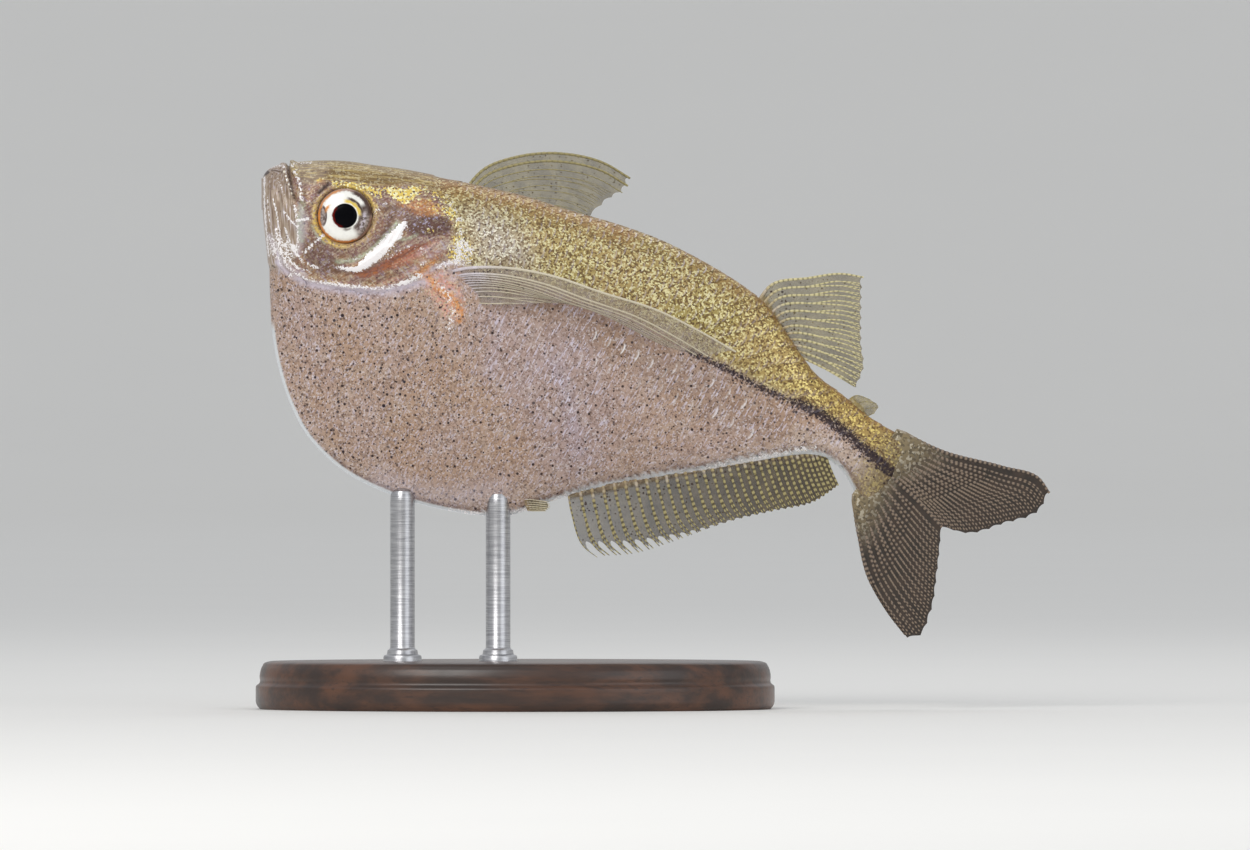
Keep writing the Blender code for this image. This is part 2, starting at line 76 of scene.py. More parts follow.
# How the photograph is read: pixels per standard length, the fish's origin, and the
# picture's width and height
PIXELS = 683
JAW_PIXEL = 262.5
KEEL_PIXEL = 517
PHOTO_WIDTH = 1250
PHOTO_HEIGHT = 850

# Body sections: the back's x and z, the keel's x and z, the half width, the share
# of the way down where the section is widest, and how sharply it thins to the keel
SECTIONS = np.array([
    (0.0, 49.6, 0.0, 45.0, 1.6, 0.50, 0.50),
    (0.5, 50.5, 0.2, 42.8, 3.1, 0.48, 0.54),
    (1.4, 51.2, 0.5, 40.1, 4.1, 0.45, 0.62),
    (2.9, 51.7, 0.8, 36.9, 4.9, 0.41, 0.75),
    (5.1, 52.0, 0.9, 33.2, 5.6, 0.38, 0.88),
    (8.4, 52.2, 1.2, 27.4, 6.4, 0.35, 1.00),
    (12.4, 52.1, 2.1, 22.1, 7.1, 0.32, 1.08),
    (16.5, 51.5, 3.9, 16.5, 7.6, 0.31, 1.12),
    (20.9, 50.9, 6.8, 11.3, 8.0, 0.30, 1.15),
    (26.0, 49.9, 12.1, 6.4, 8.3, 0.29, 1.18),
    (31.8, 48.6, 19.4, 2.9, 8.4, 0.29, 1.20),
    (38.4, 47.1, 27.5, 0.7, 8.3, 0.30, 1.20),
    (45.3, 44.9, 35.5, 0.0, 7.9, 0.31, 1.18),
    (51.9, 43.0, 41.8, 2.0, 7.2, 0.34, 1.10),
    (58.5, 40.6, 49.4, 4.2, 6.2, 0.38, 1.00),
    (64.8, 37.4, 57.5, 5.7, 5.2, 0.42, 0.90),
    (70.2, 34.1, 65.5, 6.9, 4.3, 0.45, 0.80),
    (74.0, 31.0, 72.8, 8.2, 3.6, 0.47, 0.70),
    (77.2, 26.4, 78.7, 9.1, 3.1, 0.48, 0.60),
    (80.9, 21.2, 81.9, 8.8, 2.6, 0.50, 0.55),
    (85.0, 18.0, 84.0, 7.5, 2.2, 0.50, 0.50),
    (88.7, 14.9, 85.4, 5.7, 1.9, 0.50, 0.50),
    (93.8, 11.9, 87.0, 2.5, 1.5, 0.50, 0.50),
])
# The bare edge along the keel, in rows of scales, and the section where it ends
KEEL_BARE = 1.5
BARE_UNTIL = 13
# How finely the skin is cut up: sections of the head, steps between sections there and
# behind it, and steps down the upper and the lower half
HEAD_SECTIONS = 9
HEAD_STEPS = 10
BODY_STEPS = 8
UPPER_STEPS = 90
LOWER_STEPS = 60
# The keel's half width in hundredths, and how full back, keel and belly are
KEEL_HALF = 0.9
BACK_ROUNDNESS = 2.4
KEEL_ROUNDNESS = 6.0
BELLY_FALL = 1.6
# How the ends close: shares of the last ring's width, how far each step goes on, and
# the tail's way
NOSE_CLOSING = [(0.15, 0.14), (0.55, 0.11), (0.85, 0.05)]
TAIL_CLOSING = [(0.92, 0.5), (0.76, 1.1), (0.52, 1.7), (0.28, 2.3)]
TAIL_WAY = np.array([0.8, 0, -0.6])

# Fins. Each sheet is its root, its first and last ray between root and edge, and its
# free edge.
DORSAL = {
    "root": [(72.2, 31), (75.3, 27), (77.6, 24)],
    "first": [(74.4, 33.9), (80, 35), (85, 35.6)],
    "last": [(81.8, 22)],
    "edge": [(88, 35.1), (87.9, 30.5), (87.9, 25), (88.2, 22), (87, 18.9)],
}
ANAL = {
    "root": [(44.6, 4.6), (57.5, 7.2), (70, 9.3), (78.5, 10.3), (82, 9.9)],
    "first": [(45.3, 0.5), (47.1, -4.4)],
    "last": [(83.2, 7)],
    "edge": [(49, -5.9), (54.5, -5.6), (61, -3.6), (69, -0.7), (75, 0.7), (81, 2.1), (84.4, 4.5)],
}
CAUDAL_UPPER = {
    "root": [(92.8, 12.8), (89.6, 8.1)],
    "first": [(99.5, 9.6), (108.4, 7.3), (113.7, 5.6)],
    "last": [(95.5, 2.8)],
    "edge": [(115.2, 3.5), (114, 1), (108.4, -1.2), (103.5, -2.5), (99.5, -1.5)],
}
CAUDAL_LOWER = {
    "root": [(89.6, 8.1), (86.4, 3.4)],
    "first": [(95.5, 2.8)],
    "last": [(87.3, -2.9), (88.6, -8.6), (91.3, -13.6)],
    "edge": [(99.5, -1.5), (98.9, -8.1), (97.8, -14.5), (96.2, -17.6), (94.5, -17.8)],
}
ADIPOSE = {
    "root": [(85, 16.5), (87.9, 14.2)],
    "first": [(86.9, 17.8)],
    "last": [(88.9, 14.9)],
    "edge": [(89, 17.2), (90.2, 16.2), (89.6, 15.2)],
}
LEFT_PECTORAL = {
    "root": [(26.9, -6.8, 35.6), (30.6, -6.8, 31.4)],
    "first": [(29.8, -10, 36.3), (35.1, -12.5, 36.4), (42.3, -14.5, 35.2), (49.5, -16, 32.8),
             (58.1, -17, 30), (63.9, -17.2, 27.1)],
    "last": [(32.6, -8.9, 31.2)],
    "edge": [(69.2, -16.5, 24.1), (66.1, -15, 23.5), (59.3, -12.6, 24.7), (53.5, -11.4, 27.9),
             (45, -10.7, 31), (37.2, -10.2, 31.1)],
}
RIGHT_PECTORAL = {
    "root": [(26.9, 6.8, 35.6), (30.6, 6.8, 31.4)],
    "first": [(27.1, 12.5, 41.1), (28.9, 17.5, 47), (32.2, 21, 51.2), (37, 24.5, 53.1),
             (43.5, 28.5, 53.7), (50, 32, 52.3)],
    "last": [(32.2, 9.9, 33)],
    "edge": [(53.8, 34, 50.1), (53.4, 33, 48.8), (50.6, 29.5, 46.7), (47, 25, 43.4),
             (40.5, 18.6, 38.2), (34.5, 13, 34.8)],
}
PELVIC = {
    "root": [(38.2, 0.7, 2.6), (38.9, 0.5, 0.9)],
    "first": [(39.8, 1.9, 2.5)],
    "last": [(40, 1.6, 0.9)],
    "edge": [(41.9, 2.5, 2.2), (42.1, 2.4, 1.5), (41.5, 2.2, 0.9)],
}

# Lines and areas of the fish, in pixels of the photograph
BOUNDARY = [(432, 250), (470, 268), (540, 285), (600, 305), (660, 330), (690, 348), (730, 368),
            (773, 391), (816, 410), (845, 430), (870, 452), (891, 470), (905, 480)]
BACK_AREA = BOUNDARY + [(960, 470), (985, 420), (900, 330), (700, 110), (430, 120), (424, 200)]
CROWN_AREA = [(280, 145), (289, 170), (303, 184), (330, 181), (380, 187), (424, 186), (445, 200),
              (450, 140)]
HEAD_AREA = [(255, 140), (432, 150), (434, 170), (440, 195), (452, 212), (455, 235), (449, 258),
             (434, 274), (420, 281), (404, 286), (382, 291), (350, 291), (322, 285), (298, 277),
             (283, 268), (255, 262)]
COVER_AREA = [(392, 272), (391, 250), (398, 222), (412, 202), (432, 196), (447, 206), (453, 222),
              (452, 240), (445, 258), (430, 271), (412, 279)]
CHEEK_AREA = [(308, 206), (312, 240), (336, 266), (366, 270), (382, 250), (388, 226), (378, 216)]
JAW_AREA = [(255, 150), (287, 160), (292, 180), (294, 195), (298, 215), (300, 250), (288, 270),
            (255, 262)]
CRESCENT = [(338, 268), (356, 270), (376, 259), (391, 245), (407, 227)]
MOUTH = [(288.5, 160), (289, 170), (291, 182), (293.5, 194), (296, 200)]
JAW_RIM = [(283, 166), (286, 176), (289, 186), (291.5, 196)]
UPPER_LIP = [(292, 163), (295, 171), (299, 180), (301.5, 191), (302, 200)]
CHIN_LINE = [(276.5, 230), (281, 250), (287, 265), (298, 275), (315, 281), (335, 284.5)]
THROAT_LINE = [(335, 284.5), (355, 287), (382, 289), (404, 284), (420, 277)]
DENTARY = [(272, 190), (273, 215), (277, 240), (284, 258)]
JAW_FRONT = [(264.5, 176), (265, 200), (266.5, 230), (269, 256)]
INNER_JAW = [(284, 205), (289, 231), (294, 249), (299, 260), (308, 266)]
MAXILLA_EDGE = [(295, 206), (297.5, 220), (298.5, 236), (298, 251)]
EYE_STRUT = [(324, 236), (305, 252.5)]
EYE_BRIDGE = [(300, 221), (310, 219)]
LATERAL_STRIPE = [(688, 351), (730, 371), (746, 380), (773, 393), (797, 403), (816, 412), (845, 432),
                  (870, 454), (891, 472)]
STREAK_BAND = [(560, 318), (610, 338), (660, 366), (710, 396), (765, 420)]
GLINT_ROW = [(575, 326), (604, 341), (632, 354), (661, 365), (688, 374), (715, 387), (742, 402)]
TOP_ROW = [(548, 208), (580, 215), (620, 229), (660, 247), (700, 270)]
ANAL_BASE = [(552, 501), (600, 489), (650, 480), (700, 471), (760, 459), (815, 447)]
BREAST_TOP = (266, 318)
CLEITHRUM = [(446, 196), (457, 214), (461, 236), (458, 256), (448, 268)]

# Markings, with painted shade and sheen among them: for each mask its shapes, as places, width
# in pixels or 0 for an area, how softly it ends, its strength, and whether a line thins to its ends
MARKINGS = {
    "back": [(BACK_AREA, 0, 9, 1)],
    "crown": [(CROWN_AREA, 0, 8, 1)],
    "jaw": [(JAW_AREA, 0, 7, 1)],
    "head": [(HEAD_AREA, 0, 4, 1)],
    "white": [
        (CRESCENT, 6.5, 2, 1, True),
        ([(358, 268), (375, 256), (389, 243), (400, 231), (408, 221)], 11.5, 3, 1, True),
        (CHIN_LINE, 2.4, 2, 0.72), ([(281, 245), (288, 257), (300, 268), (312, 272)], 1.6, 2.4, 0.55),
        ([(270, 236), (274, 252), (282, 266)], 1.6, 2.4, 0.5),
        ([(268, 236), (286, 240), (296, 256), (288, 262), (271, 256)], 0, 9, 0.42),
        (THROAT_LINE, 3, 3, 0.66), ([(402, 284), (411, 281), (421, 275.5)], 4, 2, 0.9),
        (JAW_FRONT, 1.8, 2.2, 0.75),
        ([(273.7, 199), (276.5, 210.5), (279, 224), (281.5, 239), (286.6, 250), (293, 264),
          (302, 271)], 1.4, 1.6, 0.8),
        ([(284.5, 212), (289.5, 219), (296, 225)], 1.6, 1.6, 0.75),
        ([(285.8, 228), (291, 243.5), (298, 255), (307, 263.5), (318, 268)], 1.6, 1.6, 0.8),
        ([(267.5, 196), (269.5, 215), (272, 232), (276, 246)], 1, 1.6, 0.6),
        ([(277, 176), (283, 190), (287, 202)], 1, 1.6, 0.5),
        ([(290, 243), (297, 246), (298, 253), (291, 252)], 0, 5, 0.8), (MAXILLA_EDGE, 2.2, 1.8, 0.72),
        (EYE_STRUT, 1.9, 1.4, 1), (EYE_BRIDGE, 2.2, 1.6, 0.95), (UPPER_LIP, 3.4, 3, 0.5),
        ([(290, 164), (300, 163), (312, 163)], 2, 3, 0.5),
        ([(271, 167), (278, 165.5), (284, 167)], 2.4, 2.5, 0.55),
        ([(374, 214), (382, 208), (386, 204)], 2, 3, 0.5),
        ([(346, 262), (365, 256), (382, 245), (397, 230)], 1.4, 2, 0.42), (CLEITHRUM, 3, 5, 0.5),
        ([(455, 243), (464, 240), (471, 248), (468, 260), (458, 262)], 0, 8, 0.6),
        ([(437, 268), (452, 263), (466, 262)], 5, 5, 0.55),
        ([(383, 262), (400, 252), (420, 249), (428, 262), (416, 268)], 3, 8, 0.36),
        ([(438, 284), (450, 300), (454, 318), (449, 330)], 5, 8, 0.42),
    ],
    "shade": [
        ([(270.5, 184), (272, 205), (274.5, 222), (278, 240), (284, 256)], 1.5, 2, 0.75),
        ([(275.5, 176), (280, 192), (284, 206), (288, 222), (293, 238)], 1.4, 2, 0.6),
        ([(266.5, 200), (268, 224), (271, 246), (278, 262)], 1.2, 2, 0.5),
        ([(281.5, 230), (286, 244), (294, 258), (306, 268), (322, 275)], 1.4, 2.2, 0.7),
        ([(300, 205), (304, 226), (304, 246), (312, 260), (330, 270)], 2, 3, 0.6),
        ([(318, 200), (309, 206), (306, 216)], 1.6, 2.4, 0.5),
        ([(332, 250), (350, 256), (370, 248), (386, 232), (396, 216)], 3, 4, 0.55),
        ([(326, 258), (344, 263.5), (362, 261), (380, 249), (395, 233)], 1.4, 2, 0.7),
        ([(342, 271), (358, 274.5), (374, 267), (390, 255), (404, 241)], 1.6, 2, 0.8),
        ([(330, 276), (352, 281), (380, 280), (402, 273), (420, 262)], 2, 4, 0.5),
        ([(378, 212), (396, 208), (414, 212), (430, 214)], 2.4, 3, 0.6),
        ([(300, 176), (302, 188), (306, 200)], 2, 3, 0.5),
        ([(268, 170), (286, 169), (291, 192), (280, 198), (268, 186)], 0, 6, 0.3),
    ],
    "mint": [
        ([(338, 262), (356, 260), (372, 250), (387, 236), (399, 223)], 5, 5, 0.8),
        ([(312, 226), (318, 236), (326, 244)], 3, 4, 0.7),
        ([(400, 240), (406, 240), (417, 236)], 5, 4, 0.6),
        ([(303, 204), (301, 222), (302, 240)], 8, 6, 0.7),
    ],
    # A dark spot at the jaw's tip, and painted shade in the nostrils and the mouth's slit
    "ink": [
        ([(319.5, 193), (324.5, 188.5), (329.5, 184)], 3.2, 1.6, 1),
        ([(263, 175.5), (268, 172.5)], 3.4, 1.4, 1), (MOUTH, 1.8, 1.6, 0.9),
        ([(272, 170.5), (279, 171.5), (284, 173)], 1.4, 1.4, 0.7),
    ],
    "gold": [
        ([(336, 184), (350, 185.5), (366, 188), (381, 196)], 7, 4, 0.8),
        ([(378, 190), (392, 187), (404, 189), (420, 186), (418, 195), (406, 205), (394, 199)], 0, 5, 0.9),
        ([(402, 192), (430, 190), (450, 202), (448, 216), (424, 212), (404, 204)], 0, 12, 0.3),
        ([(376, 206), (380, 218)], 8, 8, 0.3), ([(447, 211), (454, 218)], 7, 4, 0.8),
        ([(420, 190), (436, 196), (448, 204)], 9, 8, 0.42),
        ([(452, 208), (457, 226), (458, 242)], 7, 6, 0.5),
        ([(446, 246), (452, 238), (462, 236), (474, 247), (470, 262), (452, 264)], 0, 8, 0.5),
        ([(318, 181), (325, 180)], 3, 3, 0.5), ([(414, 270), (428, 262), (442, 254)], 5, 7, 0.26),
        ([(428, 232), (436, 229)], 5, 4, 0.5),
    ],
    "amber": [
        ([(396, 206), (410, 198), (434, 202), (446, 212), (430, 218), (410, 214)], 0, 10, 0.6),
        ([(318, 183), (324, 180)], 4, 3, 0.5),
        ([(420, 274), (430, 279), (440, 290), (452, 298), (460, 308), (461, 320)], 8, 9, 0.95),
        ([(424, 270), (434, 264)], 7, 7, 0.75),
        ([(404, 268), (420, 256), (438, 248), (450, 250), (434, 266), (418, 272)], 0, 9, 0.42),
        ([(352, 277), (372, 274), (390, 266), (404, 258)], 2, 4, 0.6),
    ],
    "sheen": [
        ([(296, 166), (310, 162), (330, 168), (320, 181), (304, 186)], 0, 10, 0.18),
        ([(410, 274), (424, 262), (438, 252), (452, 246)], 2.4, 3, 0.55),
        ([(418, 256), (432, 248), (446, 242)], 4, 6, 0.3),
        ([(380, 480), (440, 494), (500, 490)], 18, 26, 0.3),
        ([(300, 204), (308, 216), (308, 234), (300, 248)], 0, 5, 0.4),
        ([(424, 276), (438, 266), (456, 264), (476, 268)], 2, 3, 0.75),
        ([(430, 282), (444, 274), (462, 271), (480, 276)], 2, 3, 0.7),
        ([(437, 288), (450, 281), (466, 278), (482, 283)], 2, 3, 0.65),
        ([(445, 293), (456, 288), (470, 285), (484, 290)], 2, 3, 0.6),
        ([(453, 298), (464, 294), (476, 292), (488, 297)], 2, 3, 0.5),
        ([(278, 262), (286, 272), (302, 281), (336, 288), (366, 291), (392, 290),
          (426, 281)], 5.5, 4, 0.9),
        ([(270, 236), (278, 254), (290, 268), (306, 276)], 5, 5, 0.55),
        ([(432, 272), (444, 265), (460, 261)], 2.4, 2, 0.8),
        ([(296, 224), (302, 240), (300, 252)], 6, 6, 0.35),
    ],
    "umber": [
        ([(406, 224), (418, 217), (436, 216), (450, 220), (452, 230), (441, 237), (424, 237),
          (410, 235)], 0, 6, 0.95),
        ([(302, 240), (318, 238), (330, 250), (342, 262), (350, 272), (335, 276), (318, 273),
          (304, 260)], 0, 8, 0.62),
        ([(376, 196), (394, 204), (414, 212), (424, 219), (406, 226), (388, 242), (372, 246),
          (384, 226), (384, 210)], 0, 8, 0.62),
        ([(345, 262), (362, 262), (380, 250), (394, 236)], 3, 4, 0.45),
        # Painted shadow: a darker band on the flank under the near pectoral fin
        ([(500, 302), (540, 302), (575, 308), (612, 320), (650, 338)], 16, 18, 0.46),
        ([(303, 212), (309, 226), (312, 240)], 3, 5, 0.4),
    ],
    "russet": [
        ([(350, 273), (370, 269), (388, 258), (404, 250), (431, 243), (418, 258), (404, 267),
          (384, 272), (364, 279)], 0, 6, 1),
        ([(430, 239), (446, 232)], 4, 5, 0.4),
    ],
    "rose": [
        ([(419, 276), (432, 268), (448, 272), (462, 288), (466, 308), (458, 324), (446, 320),
          (434, 302), (424, 290)], 0, 16, 0.85),
        ([(412, 290), (426, 308), (440, 328)], 12, 16, 0.3),
        ([(385, 283), (402, 277), (420, 268)], 6, 7, 0.6),
        ([(396, 266), (412, 258), (428, 249), (438, 243)], 8, 8, 0.65),
    ],
    # Painted sheen: pale lavender-blue areas on the flank and under the head's border
    "lilac": [
        ([(556, 366), (566, 392), (572, 420), (578, 450)], 22, 26, 0.9),
        ([(500, 322), (492, 372)], 16, 24, 0.7),
        ([(300, 284), (340, 292), (390, 295), (432, 284)], 5, 8, 0.75),
        ([(468, 312), (540, 318), (600, 352), (612, 440), (580, 480), (520, 420)], 0, 44, 0.42),
        ([(296, 300), (310, 340), (330, 380)], 14, 30, 0.3),
    ],
    "silver": [
        ([(466, 212), (496, 216), (520, 234), (532, 262), (480, 262)], 0, 50, 0.85),
        (BOUNDARY, 8, 14, 0.3),
    ],
    "stripe": [
        (LATERAL_STRIPE[:5], 7, 5, 0.86), (LATERAL_STRIPE[4:], 10.5, 5, 1),
    ],
    "pale": [
        (ANAL_BASE, 22, 26, 0.9), ([(800, 440), (838, 452), (862, 478), (874, 508)], 26, 16, 1),
        ([(300, 440), (360, 484), (440, 508), (540, 500)], 30, 36, 0.7),
    ],
    "dots": [
        ([(262, 262), (300, 284), (340, 292), (330, 340), (280, 350)], 0, 30, 1),
        (LATERAL_STRIPE, 22, 8, 1),
        ([(262, 262), (300, 286), (420, 292), (470, 330), (430, 440), (350, 470),
          (270, 400)], 0, 60, 0.75),
        (ANAL_BASE, 10, 14, 0.9), ([(440, 506), (480, 512), (515, 510), (552, 500)], 10, 8, 1),
    ],
    "streaks": [(STREAK_BAND, 40, 30, 1)],
    "crest": [
        ([(452, 181), (480, 186), (520, 196), (580, 212), (630, 230)], 28, 22, 0.95),
        ([(620, 228), (660, 244), (700, 266), (740, 292)], 12, 12, 0.5),
    ],
    "bead_row": [
        (ANAL_BASE, 3, 3, 1), ([(448, 509), (480, 514), (515, 512), (552, 502)], 5, 5, 0.55),
    ],
}

# Relief of the head: places, width, softness, rise in metres, and whether it thins
RELIEF = [
    (COVER_AREA, 0, 3, 0.00016), ([(400, 262), (404, 236), (420, 214), (440, 206)], 2, 5, -0.00005),
    (CHEEK_AREA, 0, 5, 0.00008), (CRESCENT, 10, 3, 0.0001, True),
    ([(352, 262), (376, 250), (396, 232)], 2, 4, -0.00008), (MOUTH, 2.2, 2.2, -0.00038),
    (JAW_RIM, 5, 4, 0.00016), (UPPER_LIP, 6, 4, 0.00018), (MAXILLA_EDGE, 2.6, 2.6, 0.0001),
    ([(303, 206), (303, 232), (304, 252)], 2.4, 3, -0.0001), (DENTARY, 3, 4, 0.00006),
    ([(279, 190), (281, 215), (286, 238), (292, 256)], 3, 4, -0.00008), (INNER_JAW, 2.4, 3, 0.00008),
    (CHIN_LINE, 3.6, 3, 0.00012),
    ([(274, 240), (280, 262), (296, 280), (316, 287), (338, 291)], 2.6, 4, -0.00012),
    (THROAT_LINE, 5, 5, 0.00012),
    ([(338, 291), (360, 294), (386, 296), (410, 290), (428, 281)], 3, 5, -0.00012),
    ([(449, 206), (457, 222), (456, 242), (449, 260), (436, 275)], 2.2, 3, -0.00018),
    (CLEITHRUM, 6, 6, 0.0001), (EYE_STRUT, 1.8, 2, 0.00006),
    ([(319, 193.5), (323, 189.5)], 2.4, 2.4, -0.00022), ([(326, 187), (330, 184)], 2.4, 2.4, -0.00022),
    ([(446, 268), (460, 284), (474, 306)], 10, 12, 0.00018),
    ([(300, 171), (340, 170), (380, 173), (420, 181)], 1.6, 3, 0.00004),
    ([(306, 176), (340, 176), (380, 180), (416, 187)], 1.6, 3, 0.00004),
]

# Colours as the display's 0 to 255
COLOURS = {
    "flank": (184, 157, 142), "warm_flank": (180, 148, 122), "pale_flank": (202, 184, 170),
    "flank_shade": (112, 86, 70), "back": (182, 158, 104), "green_back": (170, 152, 90),
    "crest": (150, 104, 58), "silver": (184, 176, 168), "crown": (174, 150, 96),
    "crown_lines": (206, 184, 120), "dark_crown": (130, 106, 68), "cheek": (142, 106, 98),
    "warm_cheek": (166, 128, 86), "pale_cheek": (190, 170, 148), "jaw": (186, 170, 152),
    "dark_jaw": (146, 126, 108), "head_lines": (104, 80, 68), "peduncle": (136, 120, 88),
    "umber": (88, 60, 52), "russet": (158, 92, 60), "mint": (182, 198, 168),
    "flank_flecks": (228, 220, 222), "silver_flecks": (226, 224, 226), "straw_ray": (176, 164, 112),
    "straw_joint": (84, 72, 42), "rear_back": (174, 144, 84), "gold_glitter": (240, 214, 122),
    "dark_russet": (122, 66, 46), "rose": (220, 156, 136), "lilac": (176, 172, 204),
    "pale_lilac": (218, 210, 226), "dark_glitter": (98, 72, 44), "light_glitter": (246, 236, 182),
    "gilt": (236, 206, 104), "pale_gilt": (255, 249, 198), "orbit": (222, 192, 96),
    "white": (250, 246, 246), "keel": (224, 230, 234), "stripe": (40, 26, 34), "dot": (50, 32, 30),
    "iris": (252, 251, 244), "iris_shade": (226, 224, 222), "window": (176, 162, 156),
    "dark_window": (84, 66, 60), "rust": (132, 70, 34), "amber": (224, 144, 62), "pupil": (4, 4, 8),
    "pupil_edge": (104, 16, 8), "bead": (228, 218, 194), "cream_ray": (216, 206, 158),
    "cream_joint": (84, 74, 44), "olive_ray": (170, 158, 108), "olive_joint": (104, 92, 56),
    "pearl_ray": (206, 196, 172), "pearl_joint": (140, 126, 84), "grey_ray": (138, 120, 102),
    "grey_joint": (62, 50, 42), "clear_skin": (140, 124, 66), "clear_shade": (106, 92, 50),
    "dusky_skin": (92, 76, 46), "dusky_shade": (62, 50, 32), "veil_skin": (176, 164, 156),
    "veil_shade": (164, 150, 130), "smoky_skin": (60, 45, 33), "smoky_shade": (40, 31, 22),
    "fin_flesh": (166, 142, 112), "dark_wood": (44, 26, 16), "light_wood": (92, 56, 34),
    "steel": (206, 206, 208), "dark_steel": (164, 164, 168), "floor": (240, 239, 236),
    "floor_shade": (232, 231, 229),
}

# The eye's middle in pixels, and the tail fin's root in hundredths, with the way it
# faces
EYE_PIXEL = (345.8, 216.5)
TAIL_ROOT = (90.4, 7.2)
TAIL_LEAN = (0.81, -0.585)

# The rim round the eye, its socket, and the sides from which the rim shines: angle
# in degrees and how narrow the light is
ORBIT_RISE = 0.00016
ORBIT_WIDTH = 0.00045
ORBIT_GAP = 0.00018
ORBIT_LIGHTS = ((212, 1.5), (52, 3))
SOCKET_DEPTH = 0.00110
SOCKET_WALL = 0.00018

# Where computed markings begin and are full: in pixels from the back or the keel, or
# in hundredths rearwards
CREST_EDGE = (8, 1)
CREST_RUN = (20, 28)
KEEL_LINE = (5.2, 3.2)
KEEL_SHADE = (11, 5)
SHADE_RUN = (4, 12)
TAIL_RUN = (-5.4, 1.1)
REAR_RUN = (62, 86)

# How far the markings' strokes lean from upright, in radians
SCALE_LEAN = 0.49
CROSS_LEAN = 0.75
JAW_LEAN = -0.06
CROWN_LEAN = 1.64
SWEEP_LEAN = 1.05

# One scale: points across it, shares along it, how its corners round off, its width at
# the root and where it is full, how it stands at its root, its tip and its sides, in
# lifts, its thickness, and where across it the rear edge's painted highlight ends and is full
SCALE_COLUMNS = 7
SCALE_STOPS = (0.0, 0.52, 0.86, 1.0)
SCALE_CORNER = 0.34
SCALE_ROUNDING = 2.4
SCALE_NECK = 0.62
SCALE_FULL = 0.8
SCALE_SINK = 0.45
SCALE_RISE = 1.45
SCALE_CURL = 0.30
SCALE_THICK = 0.34
SCALE_RIM = (0.85, 0.45)

# Scales on the body: the first row's depth and the edge left free, in rows, how much
# lengths and lifts vary, how far apart in metres a slope is read, the greatest width in
# pitches, and where before the tail fin, in hundredths, scales settle and by how much
FIRST_ROW = 0.35
EDGE_FREE = 0.25
SCALE_LENGTHS = (0.96, 1.05)
SCALE_LIFTS = (0.85, 1.15)
PROBE = 1e-4
SCALE_WIDEST = 1.12
SETTLING = (-8, -1)
SETTLED = 0.8

# Scales with a highlight painted on their rear edge: places, width in pixels and strength
# of each row, and how much single scales vary
EDGE_GLINTS = ((GLINT_ROW, 7.0, 1.0), (np.array(GLINT_ROW) + (-6, 24), 8.0, 0.65), (TOP_ROW, 9.0, 0.40))
GLINT_SPREAD = (0.35, 1.0)
# Where a scale must be off the head's plates, from its root, in hundredths
SCALE_PROBES = ((0, 0), (-1.5, 0), (-1.1, 1.1), (0, 1.5))

# Points of a fin's sheet along it and across each gap, the share of the scallops that
# stays at a ray's tip, how much the skin thins to its edge and how far it has spots,
# and how rays are cut up, swell at beads and branch. As shares of a ray: where it
# comes to its width, where its beads begin, and where its root ends.
SHEET_ROWS = 33
GAP_COLUMNS = 6
SCALLOP_REST = 0.35
SKIN_THINNING = 0.5
SPOTTED = 0.5
RAY_STEPS = 160
BEAD_POINTS = 4
BEAD_SWELL = 0.28
TWIG_SPREAD = 0.11
TWIG_THINNER = 0.75
BRANCH_SHORTER = 0.03
RAY_START = (-0.04, 0.06)
BEADS_START = (0.06, 0.16)
ROOT_END = 0.45

# The eyeball's rings, its pupil's dome and its iris's hollow, with their edges in
# shares of its radius
EYE_SIDES = 96
EYE_RINGS = 72
PUPIL_DOME = 0.00007
DOME_EDGE = (0.36, 0.48)
IRIS_HOLLOW = 0.00006
HOLLOW_EDGES = ((0.40, 0.50), (0.55, 0.85))

# Profiles turned round an upright axis. The base's are shares of its half width and
# height. A rod's are its radius, in the collar's radius or its own, and its height
# over the base or its top, in metres. The floor's are shares of its radius.
BASE_SIDES = 160
BASE_STEPS = 48
BASE_PROFILE = [(0.975, 0.0), (0.99, 0.06), (1.0, 0.16), (1.0, 0.42), (0.994, 0.50), (0.982, 0.53),
                (0.976, 0.58), (0.978, 0.66), (0.974, 0.78), (0.962, 0.90), (0.944, 0.975), (0.92, 1.0)]
ROD_SIDES = 48
COLLAR_PROFILE = [(1.0, -0.0004), (1.0, 0.0003), (0.96, 0.00042), (0.82, 0.0005), (0.78, 0.0008)]
STEM_PROFILE = [(1.04, 0.00092), (1.0, 0.0010)]
TOP_PROFILE = [(1.0, -0.0004), (0.97, 0.0001), (0.85, 0.0004), (0.5, 0.0006)]
ROD_TIP = 0.00065
FLOOR_SIDES = 128
FLOOR_SHARES = (0.05, 0.2, 0.5, 1.0)
COVE_STEPS = 24

# Rows of beads: places, distance apart, size, and how far they stray in hundredths.
# They are sought from this far off the middle plane, in metres, vary in size, and
# have this share of their width as height.
JAW_BEADS = [([(285, 172), (287.5, 179), (290, 186), (292.5, 194)], 0.00026, 0.00013, 0.02)]
ANAL_BEADS = [(ANAL_BASE, 0.00032, 0.00009, 0.12), (ANAL_BASE, 0.00045, 0.00006, 0.35)]
BEAD_REACH = 0.010
BEAD_SIZES = (0.7, 1.2)
BEAD_HEIGHT = 0.55

# Lamps: place, width, colour. All look at one point of the fish. The camera's sensor
# is in millimetres.
LAMPS = {
    "key": ((-0.20, -0.42, 0.30), 0.26, (1.0, 0.98, 0.95)),
    "fill": ((0.36, -0.36, 0.12), 0.34, (0.94, 0.97, 1.0)),
    "rim": ((0.06, 0.20, 0.36), 0.22, (1.0, 1.0, 1.0)),
}
LAMP_AIM = (0.0, 0.0, 0.022)
SKY_COLOUR = (0.95, 0.97, 1.0, 1.0)
SENSOR_WIDTH = 36.0


